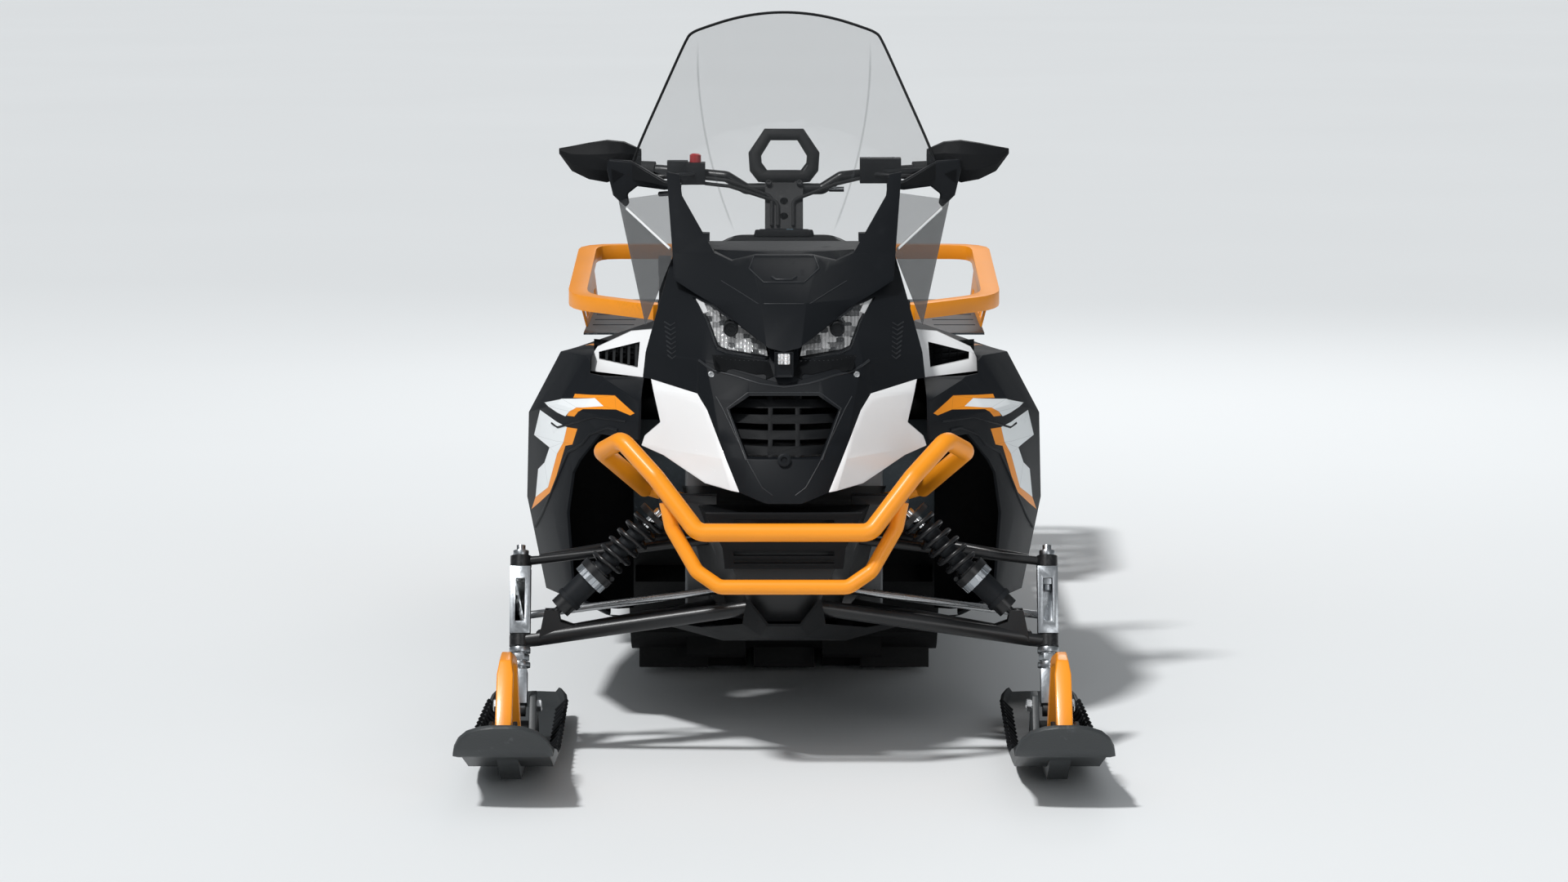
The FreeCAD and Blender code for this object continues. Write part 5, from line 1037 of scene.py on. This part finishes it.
def makeKillCap():
    bpy.ops.mesh.primitive_cylinder_add(vertices=24, radius=capLook["radius"], depth=capLook["deep"],
                                        location=capLook["place"])
    cap = insetFaces(baked(), lambda number, normal: normal.z > 0.9, *capLook["steps"])
    settle([smoothed(cap, 50)], "killCapRed", "redCap", "handlebar_set")


makeDampers()
makeKillCap()

# Skis: a moulded shell with raised edges and a half-moon shovel, on a keel with its steel runner
skiRows = (
    # y, z of the floor, half width, rise of the edge, in mm
    (-1609, 151, 14, 0), (-1606, 148, 38, 0), (-1598, 140, 60, 0), (-1588, 127, 74, 0), (-1575, 111, 82, 0),
    (-1562, 96, 85, 0), (-1552, 92, 85, 2), (-1500, 86, 85, 12), (-1400, 58, 84, 20), (-1310, 32, 83, 24),
    (-1210, 21, 82, 24), (-1000, 20, 79, 24), (-800, 20, 76, 23), (-700, 21, 74, 20), (-662, 32, 70, 16),
    (-643, 46, 60, 10),
)
skiLook = {"middle": 475, "wall": 0.008, "lean": 9, "flatFoot": 0.85, "level": 0.35, "keelHalf": 18, "runnerHalf": 6,
           "blockHalf": 21, "earsAt": (-34, 22), "earWide": 12, "clipsAt": (-20, 20), "clipHalf": 4,
           "ribCount": 17, "ribFirst": -1380, "ribLast": -730, "ribRadius": 0.0036, "ribReach": 22, "ribStand": 8,
           "boltsAt": (-34, 34), "bolt": (0.012, 0.012, 0.008), "boltPlace": (-1.075, 0.099)}
skiOutlines = {
    "keel": ((-1440, 72), (-1312, 10), (-1210, 4), (-730, 4), (-682, 30), (-1310, 40)),
    "runner": ((-1300, 8), (-1200, 0), (-760, 0), (-730, 5), (-1300, 12)),
    "ear": ((-1165, 26), (-985, 26), (-1048, 121), (-1102, 121)),
    "block": ((-1120, 28), (-1030, 28), (-1040, 66), (-1110, 66)),
    "clip": ((-1584, 150), (-1548, 112), (-1500, 104), (-1540, 152)),
}


def makeSki(side, sideName):
    body, middle = "ski_" + sideName.lower(), side * skiLook["middle"]

    def plate(kind, x0, x1, edge=0.0, segments=2):
        return sidePlate(skiOutlines[kind], middle + x0, middle + x1, edge, segments)

    points = []
    for y, z, half, rise in skiRows:
        foot, level = half - skiLook["lean"] if rise else half * skiLook["flatFoot"], half * skiLook["level"]
        for x, up in ((-half, rise), (-foot, 0), (-level, 0), (level, 0), (foot, 0), (half, rise)):
            points.append(((middle + x) / 1000, y / 1000, (z + up) / 1000))
    shell = thickened(pieceFrom(points, gridFaces(len(skiRows), 6)), skiLook["wall"], 1)
    bevelled(shell, 0.0015, angle_limit=math.radians(40))
    parts = [shell, plate("keel", -skiLook["keelHalf"], skiLook["keelHalf"])]
    parts += [plate("ear", x, x + skiLook["earWide"], 0.002) for x in skiLook["earsAt"]]
    ski = outwards(joined(parts, "shell"))
    settle([smoothed(ski, 30)], "skiShell" + sideName, "skiPlastic", body, [body])
    ribs = []
    for number in range(skiLook["ribCount"]):
        y = skiLook["ribFirst"] + (skiLook["ribLast"] - skiLook["ribFirst"]) * number / (skiLook["ribCount"] - 1)
        rear = next(row for row in skiRows if row[0] >= y)
        front = [row for row in skiRows if row[0] < y][-1]
        part = (y - front[0]) / (rear[0] - front[0])
        z, half, rise = (front[item] + (rear[item] - front[item]) * part for item in (1, 2, 3))
        for edge in (1, -1):
            top = (middle + edge * (half - 1), y, z + rise + skiLook["ribStand"])
            low = (middle + edge * (half - skiLook["ribReach"]), y + 5, z + skiLook["ribStand"])
            ribs.append(tubeAlong([Vector(top) / 1000, Vector(low) / 1000], skiLook["ribRadius"]))
    settle(ribs, "skiRibs" + sideName, "softBlack", body)
    settle([plate("runner", -skiLook["runnerHalf"], skiLook["runnerHalf"], 0.0015)], "runner" + sideName, "steel", body)
    settle([plate("block", -skiLook["blockHalf"], skiLook["blockHalf"], 0.004, 3)], "saddleRubber" + sideName,
           "rubber", body)
    boltsAt("skiBolt" + sideName, [(Vector(((middle + x) / 1000, *skiLook["boltPlace"])),
                                    (math.copysign(1, x), 0, 0), skiLook["bolt"]) for x in skiLook["boltsAt"]],
            body=body, vertices=6)
    settle([plate("clip", x - skiLook["clipHalf"], x + skiLook["clipHalf"], 0.002) for x in skiLook["clipsAt"]],
           "loopClips" + sideName, "softBlack", body)


makeSki(-1, "Left")
makeSki(1, "Right")
print("skis made")

# Rubber sleeve round the strap hoop, in the handlebar's own slant; x, height along the hoop
sleeveLook = {"points": ((-24, 24), (-44, 25), (-55, 40), (-57, 68), (-32, 107), (32, 107), (57, 68), (55, 40),
                         (44, 25), (24, 24)), "radius": 0.0132, "lean": -12, "centre": (0, -0.110, 0.954)}


def makeSleeve():
    turn = Matrix.Rotation(math.radians(sleeveLook["lean"]), 3, "X")
    points = [turn @ Vector((x / 1000, 0, z / 1000)) + Vector(sleeveLook["centre"])
              for x, z in sleeveLook["points"]]
    settle([tubeAlong(points, sleeveLook["radius"], 16, True)], "hoopSleeve", "rubber", "handlebar_set")


# Levers on the bar that reach out to a last x, the screws of the brake cylinder's lid and of the clamps, which have
# their place, axis and size, and a bright cable adjuster
controlLook = {"reach": ((1, 0.300), (-1, 0.262)), "lever": ((0.176, -0.128, 0.984), (0.205, -0.150, 0.982),
                                                             (0.250, -0.152, 0.980)),
               "leverEnd": (-0.136, 0.979), "radius": 0.0052,
               "lid": [((x, -0.107, 1.0125), (0, 0, 1), (0.0042, 0.0042, 0.003)) for x in (0.166, 0.214)],
               "clamps": [((x, -0.126, 0.9655), (0, -0.82, 0.57), (0.006, 0.006, 0.005)) for x in (0.030, -0.030)],
               "adjuster": ((0.088, -0.135, 0.955), (0.117, -0.137, 0.955))}


def makeControls():
    levers = []
    for side, reach in controlLook["reach"]:
        points = [(side * x, y, z) for x, y, z in (*controlLook["lever"], (reach, *controlLook["leverEnd"]))]
        levers.append(tubeAlong(points, controlLook["radius"], 12, smooth=True))
    settle(levers, "leverSet", "blackSteel", "handlebar_set")
    boltsAt("cylinderScrews", controlLook["lid"], body="handlebar_set")
    boltsAt("clampScrews", controlLook["clamps"], "blackSteel", "handlebar_set")
    settle([tubeAlong(controlLook["adjuster"], controlLook["radius"], 12)], "cableAdjuster", "chrome",
           "handlebar_set")


# Painted highlight along the fold of the clear wings, as a white tube, and the dark backing inside the side vents,
# distance from the middle and z
wingLook = {"fold": ((292, 950), (252, 921), (208, 889)), "back": ((352, 650), (352, 712), (262, 704), (262, 640)),
            "radius": 0.0026, "sink": 0.0008, "backY": -0.64, "cuts": 5, "thick": 0.003}


def makeWingFoldHighlights():
    foldHighlights, backs = [], []
    for side in (1, -1):
        foldHighlights.append(seamLine([nodes["side_wings"]], "front", inMetres(wingLook["fold"], side), wingLook["radius"],
                              wingLook["sink"]))
        back = pieceFrom([(x, wingLook["backY"], z) for x, z in inMetres(wingLook["back"], side)], [[0, 1, 2, 3]])
        with wholeOf(back):
            bpy.ops.mesh.subdivide(number_cuts=wingLook["cuts"])
            bpy.ops.mesh.inset(thickness=0.003, depth=0.002, use_individual=True)
        backs.append(thickened(back, wingLook["thick"]))
    # A white tube along each wing's fold: a painted highlight
    settle(foldHighlights, "wingFoldHighlights", "whitePlastic")
    settle(backs, "ventBacks", "dashSoft")


# Outer skins of the mirror brackets, in the front view, with the recess near the mirror
armLook = {"y": -0.575, "inner": 204, "sweep": 0.00018, "thick": 0.030,
           "outline": ((-328, 1040), (-285, 1037), (-222, 1001), (-204, 1000), (-204, 986), (-223, 984), (-273, 990),
                       (-292, 975), (-289, 958), (-295, 950), (-319, 973), (-330, 1019)),
           "recess": ((-322, 1022), (-299, 1013), (-320, 996))}


def makeMirrorArms():
    arms = []
    for side in (1, -1):
        front = [(side * x / 1000, armLook["y"] + (-x - armLook["inner"]) * armLook["sweep"], z / 1000)
                 for x, z in armLook["outline"]]
        arm = plateFrom(front, [(x, y + armLook["thick"], z) for x, y, z in front])
        arms.append(smoothed(bevelled(arm, 0.004, 3, angle_limit=math.radians(50)), 40))
    recesses = patchPair(arms, "front", armLook["recess"], 0.0008, 0.0012)
    settle(arms, "mirrorArms", "blackPlastic")
    settle(recesses, "mirrorArmRecesses", "dashSoft")


# Slats of the pillar vents on the hood's flanks; each stands lower and leans more than the one above
slatLook = {"count": 8, "top": 766, "drop": 7.5, "lean": 1.1, "radius": 0.0015, "sink": 0.0004,
            "points": ((-216, 1, 0), (-205, 0.6, -5), (-195, 0.3, 1))}


def makeSleevesAndSlats():
    sleeves, slats = [], []
    for side in (1, -1):
        low, top = damperEnds(side)
        sleeves += [tubeAlong([low.lerp(top, start), low.lerp(top, end)], radius, 24)
                    for start, end, radius in damperLook["sleeves"]]
        for number in range(slatLook["count"]):
            z, lean = slatLook["top"] - number * slatLook["drop"], number * slatLook["lean"]
            points = inMetres([(x + lean * share, z + up) for x, share, up in slatLook["points"]], side)
            slats.append(seamLine(hoodBody, "front", points, slatLook["radius"], slatLook["sink"]))
    settle(sleeves, "damperSleeves", "blackPlastic")
    # The slats are in the lighter lip plastic, a painted highlight
    settle(slats, "pillarSlats", "lipPlastic")


# Moulded creases of the flanks under the stripes: radius in metres, distance from the middle and z
creaseLines = (
    (0.0034, ((300, 572), (319, 574), (353, 556), (367, 537), (395, 515), (417, 464), (435, 418), (452, 379),
              (468, 346))),
    (0.0022, ((430, 558), (417, 555), (388, 570), (346, 589), (285, 590))),
)
# Thin orange stripe on the upper edge of each flank, from above
edgeStripe = ((346, -572), (339, -566), (366, -470), (374, -474))


def makeFlankLines():
    settle([seamLine([flanks[side]], "front", inMetres(line, side), radius, radius * 0.45)
            for side in (1, -1) for radius, line in creaseLines], "flankCreases", "blackPlastic")
    settle(patchPair(list(flanks.values()), "top", edgeStripe, 0.0003, 0.0008), "edgeStripes", "orangePlastic")


# Closing plates between the front of the tunnel and the flanks, behind the dampers
plateLook = {"y": -0.487, "inner": 0.285, "low": 0.185, "top": 0.60, "rows": 12, "thick": 0.003, "step": 0.012,
             "bulge": 0.012, "gap": 0.001}


def makeFootwellPlates():
    plates, rows = [], plateLook["rows"]
    for side in (1, -1):
        points, outer = [], side * plateLook["inner"]
        for row in range(rows + 1):
            z = plateLook["top"] - (plateLook["top"] - plateLook["low"]) * row / rows
            start = Vector((side * plateLook["inner"], plateLook["y"], z))
            found, spot, normal, face = flanks[side].ray_cast(start, Vector((side, 0, 0)))
            outer = spot.x - side * plateLook["gap"] if found else outer - side * plateLook["step"]
            for part in (0, 0.5, 1):
                points.append((start.x + (outer - start.x) * part,
                               plateLook["y"] - plateLook["bulge"] * math.sin(math.pi * part), z))
        plate = thickened(outwards(pieceFrom(points, gridFaces(rows + 1, 3))), plateLook["thick"])
        plates.append(smoothed(bevelled(plate, 0.0008, angle_limit=math.radians(40)), 40))
    settle(plates, "footwellPlates", "softBlack")


# Pleated rubber gaiter in the console's round opening for the steering column: rim and pleats as rings of
# distance and height, the rim from the hole's edge and the surface, the pleats from the axis and the mean height
gaiterLook = {"origin": (0, -0.11, 0.954), "axis": (0, 0.573576, 0.819152), "hole": 0.0550, "sides": 36,
              "beside": 0.004, "thick": 0.0012, "rim": ((0.007, 0.0005), (0.006, 0.0028), (-0.003, 0.0028)),
              "pleats": ((0.041, 0.007), (0.036, -0.002), (0.031, 0.007), (0.026, -0.002), (0.0215, 0.006),
                         (0.0205, -0.030))}


def makeGaiter():
    origin, axis, across = Vector(gaiterLook["origin"]), Vector(gaiterLook["axis"]), Vector((1, 0, 0))
    ahead = axis.cross(across)
    count, hole = gaiterLook["sides"], gaiterLook["hole"]
    outs, heights = [], []
    for index in range(count):
        angle = 2 * math.pi * index / count
        out = across * math.cos(angle) + ahead * math.sin(angle)
        found, spot, normal, face = bodyPiece["consoleBody"].ray_cast(
            origin + out * (hole + gaiterLook["beside"]), -axis)
        outs.append(out)
        heights.append((spot - origin).dot(axis) if found else heights[-1])
    middle = sum(heights) / count
    points = [origin + out * (hole + more) + axis * (height + lift)
              for more, lift in gaiterLook["rim"] for out, height in zip(outs, heights)]
    points += [origin + out * radius + axis * (middle + lift) for radius, lift in gaiterLook["pleats"] for out in outs]
    gaiter = thickened(pieceFrom(points, gridFaces(len(points) // count, count, True)), gaiterLook["thick"])
    settle([smoothed(outwards(gaiter), 60)], "columnGaiter", "rubber")


makeSleeve()
makeControls()
makeWingFoldHighlights()
makeMirrorArms()
makeSleevesAndSlats()
makeGaiter()
makeFlankLines()
makeFootwellPlates()
print("front details made")

# Seats: each cushion swollen as cloth from a remeshed copy of its node, then sewn with piping
seatLook = {"voxel": 0.007, "pressure": 4.0, "stretch": 25, "bend": 2, "frames": 20, "cap": 0.014, "inset": 0.006,
            "edgeRadius": 2.6, "acrossRadius": 2.2, "flankRadius": 2.4}
# Piping in mm: left edge and left halves across from above, flank line from the side
seatSeams = {
    "driver_seat": {"edge": ((-112, -20), (-118, 120), (-122, 300), (-118, 440)),
                    "across": (((-118, 130), (-60, 118), (0, 114)), ((-121, 300), (0, 292))),
                    "flank": ((-60, 640), (150, 652), (330, 660), (480, 668))},
    "passenger_seat": {"edge": ((-128, 530), (-130, 640), (-126, 745)), "across": (((-130, 640), (0, 636)),),
                       "flank": ((520, 660), (640, 668), (755, 676))},
}


# The cloth stays within a cap of its start and above the seat's foot
def swell(piece, floor):
    start = [spot.co.copy() for spot in piece.data.vertices]
    pick(piece)
    cloth = piece.modifiers.new("Swell", "CLOTH")
    cloth.settings.use_pressure = True
    cloth.settings.uniform_pressure_force = seatLook["pressure"]
    cloth.settings.effector_weights.gravity = 0
    cloth.settings.tension_stiffness = cloth.settings.compression_stiffness = seatLook["stretch"]
    cloth.settings.bending_stiffness = seatLook["bend"]
    for number in range(1, seatLook["frames"] + 1):
        bpy.context.scene.frame_set(number)
    bpy.ops.object.modifier_apply(modifier=cloth.name)
    bpy.context.scene.frame_set(1)
    for spot, before in zip(piece.data.vertices, start):
        away = spot.co - before
        if away.length > seatLook["cap"]:
            spot.co = before + away * (seatLook["cap"] / away.length)
        spot.co.z = max(spot.co.z, floor)


def makeSeat(node, name):
    seat = mergedCopy(node)
    applyModifier(seat, "REMESH", {"mode": "VOXEL", "voxel_size": seatLook["voxel"]})
    low, high = (Vector([end(spot.co[axis] for spot in seat.data.vertices) for axis in range(3)])
                 for end in (min, max))
    middle = (low + high) / 2
    for spot in seat.data.vertices:
        for axis in range(3):
            half = (high[axis] - low[axis]) / 2
            spot.co[axis] = middle[axis] + (spot.co[axis] - middle[axis]) * (half - seatLook["inset"]) / half
    swell(seat, low.z)
    applyModifier(seat, "SMOOTH", {"factor": 0.5, "iterations": 6})
    applyModifier(seat, "SUBSURF", {"levels": 1, "render_levels": 1})
    pick(seat)
    bpy.ops.object.shade_smooth()
    settle([seat], name, "seatVinyl", stands=[node])
    bpy.context.view_layer.update()
    seams = seatSeams[node]
    lines = [("top", inMetres(seams["edge"], side), seatLook["edgeRadius"]) for side in (1, -1)]
    lines += [("top", inMetres(arched(half)), seatLook["acrossRadius"]) for half in seams["across"]]
    lines += [(side, inMetres(seams["flank"]), seatLook["flankRadius"]) for side in ("left", "right")]
    settle([seamLine([seat], side, points, radius / 1000, radius / 2500) for side, points, radius in lines],
           name + "Piping", "rubber")


makeSeat("driver_seat", "driverCushion")
makeSeat("passenger_seat", "passengerCushion")
print("seats sewn")

# Rivets along the tunnel in an upper and a lower row, and the bolts of the rack
rivetLook = {"x": 0.3238, "first": -0.40, "pitch": 0.078, "count": 24, "upper": 0.527, "lower": 0.345,
             "lowerFrom": 6, "size": (0.005, 0.005, 0.0026)}
rackBolts = [((x, y, 0.5832), (0, 0, 1), (0.009, 0.009, 0.006)) for x in (-0.2, 0.2) for y in (0.85, 1.14, 1.50)]


def makeTunnelWork():
    rivets = []
    for side in (1, -1):
        for number in range(rivetLook["count"]):
            for z in (rivetLook["upper"], rivetLook["lower"])[:2 if number >= rivetLook["lowerFrom"] else 1]:
                place = Vector((side * rivetLook["x"], rivetLook["first"] + number * rivetLook["pitch"], z))
                rivets.append((place, (side, 0, 0), rivetLook["size"]))
    bpy.ops.mesh.primitive_uv_sphere_add(segments=10, ring_count=6, radius=1, location=(0, 0, 0))
    dome = bpy.context.active_object
    with wholeOf(dome):
        bpy.ops.mesh.bisect(plane_co=(0, 0, -0.2), plane_no=(0, 0, 1), clear_inner=True, use_fill=True)
    settle([copiesAt(smoothed(dome, 50), rivets)], "tunnelRivets", "castAluminium")
    boltsAt("rackBolts", rackBolts)


# Frame round the tail lamp, a pin with a ring in the hitch and red reflectors on the rear of the tunnel
tailLook = {"frameX": 0.117, "frameY": 1.506, "frameLow": 0.503, "frameTop": 0.547, "frameRadius": 0.006,
            "pinY": 1.586, "pinTop": 0.392, "pinFoot": 0.318, "pinRadius": 0.0068, "ringRadius": 0.020,
            "ringZ": 0.404, "ringWire": 0.0028, "ringSides": 16,
            "reflector": ((225, 470), (295, 470), (295, 492), (225, 492))}


def makeTail():
    wide, low, top = tailLook["frameX"], tailLook["frameLow"], tailLook["frameTop"]
    bars = [tubeAlong([(x0, tailLook["frameY"], z0), (x1, tailLook["frameY"], z1)], tailLook["frameRadius"], 12)
            for x0, z0, x1, z1 in ((-wide, low, wide, low), (-wide, top, wide, top), (-wide, low, -wide, top),
                                   (wide, low, wide, top))]
    settle(bars, "tailLampFrame", "blackPlastic")
    back, ring, sides = tailLook["pinY"], tailLook["ringRadius"], tailLook["ringSides"]
    pin = tubeAlong([(0, back, tailLook["pinTop"]), (0, back, tailLook["pinFoot"])], tailLook["pinRadius"], 16)
    turns = [2 * math.pi * number / sides for number in range(sides)]
    loop = tubeAlong([(ring * math.cos(turn), back, tailLook["ringZ"] + ring * math.sin(turn)) for turn in turns],
                     tailLook["ringWire"], 8, True)
    settle([pin, loop], "hitchPinSet", "steel")
    # The rear reflectors have the red lens finish with its painted glow
    settle(patchPair([bodyPiece["tunnelBody"], nodes["snow_flap"]], "back", tailLook["reflector"], 0.001, 0.003),
           "rearReflectors", "redLens")


makeTunnelWork()
makeTail()
print("tail dressed")

# Floor and lamps: a pale floor without end, a broad sun from the upper left and three soft boxes
stageLook = {"floorSize": 400, "floor": (0.83, 0.85, 0.86, 1), "skyLow": (0.50, 0.54, 0.58, 1),
             "skyHigh": (0.93, 0.97, 1.0, 1), "skyTop": 0.7, "skyStrength": 0.27}


def makeStage():
    bpy.ops.mesh.primitive_plane_add(size=stageLook["floorSize"], location=(0, 0, 0))
    floor = bpy.context.active_object
    floor.name = "floor"
    finish = Finish("floorPaint", {"Roughness": 0.9, "Specular IOR Level": 0.2})
    tone = finish.tone(finish.noise(0.35, 4), stageLook["floor"], 0.97, 1.02)
    floor.data.materials.append(finish.done({"Base Color": tone}))
    world = bpy.data.worlds.new("studio")
    bpy.context.scene.world = world
    world.use_nodes = True
    tree = world.node_tree
    background = tree.nodes["Background"]
    background.inputs["Strength"].default_value = stageLook["skyStrength"]
    spot, split, ramp = (tree.nodes.new("ShaderNode" + kind) for kind in ("TexCoord", "SeparateXYZ", "ValToRGB"))
    low, high = ramp.color_ramp.elements
    low.position, low.color = 0.0, stageLook["skyLow"]
    high.position, high.color = stageLook["skyTop"], stageLook["skyHigh"]
    tree.links.new(spot.outputs["Generated"], split.inputs[0])
    tree.links.new(split.outputs["Z"], ramp.inputs[0])
    tree.links.new(ramp.outputs[0], background.inputs["Color"])


lampLooks = {
    # name: kind, place, aimed at, strength, size or angle
    "sun": ("SUN", (-3.2, -4.2, 8), (0, 0, 0.4), 2.5, 6),
    "softBoxFront": ("AREA", (-2.6, -6.5, 4.2), (0, -0.6, 0.6), 34, 3.0),
    "softBoxRight": ("AREA", (2.6, -6.6, 1.9), (0, -0.8, 0.6), 52, 2.4),
    "softBoxBack": ("AREA", (1.0, 5.5, 4.0), (0, 0, 0.6), 60, 3.0),
}


def makeLamps():
    for name, (kind, place, aim, strength, size) in lampLooks.items():
        data = bpy.data.lights.new(name, kind)
        data.energy = strength
        if kind == "SUN":
            data.angle = math.radians(size)
        else:
            data.size = size
        lamp = bpy.data.objects.new(name, data)
        lamp.location = place
        lamp.rotation_euler = (Vector(aim) - Vector(place)).to_track_quat("-Z", "Y").to_euler()
        bpy.context.scene.collection.objects.link(lamp)


makeStage()
makeLamps()
print("stage lit")
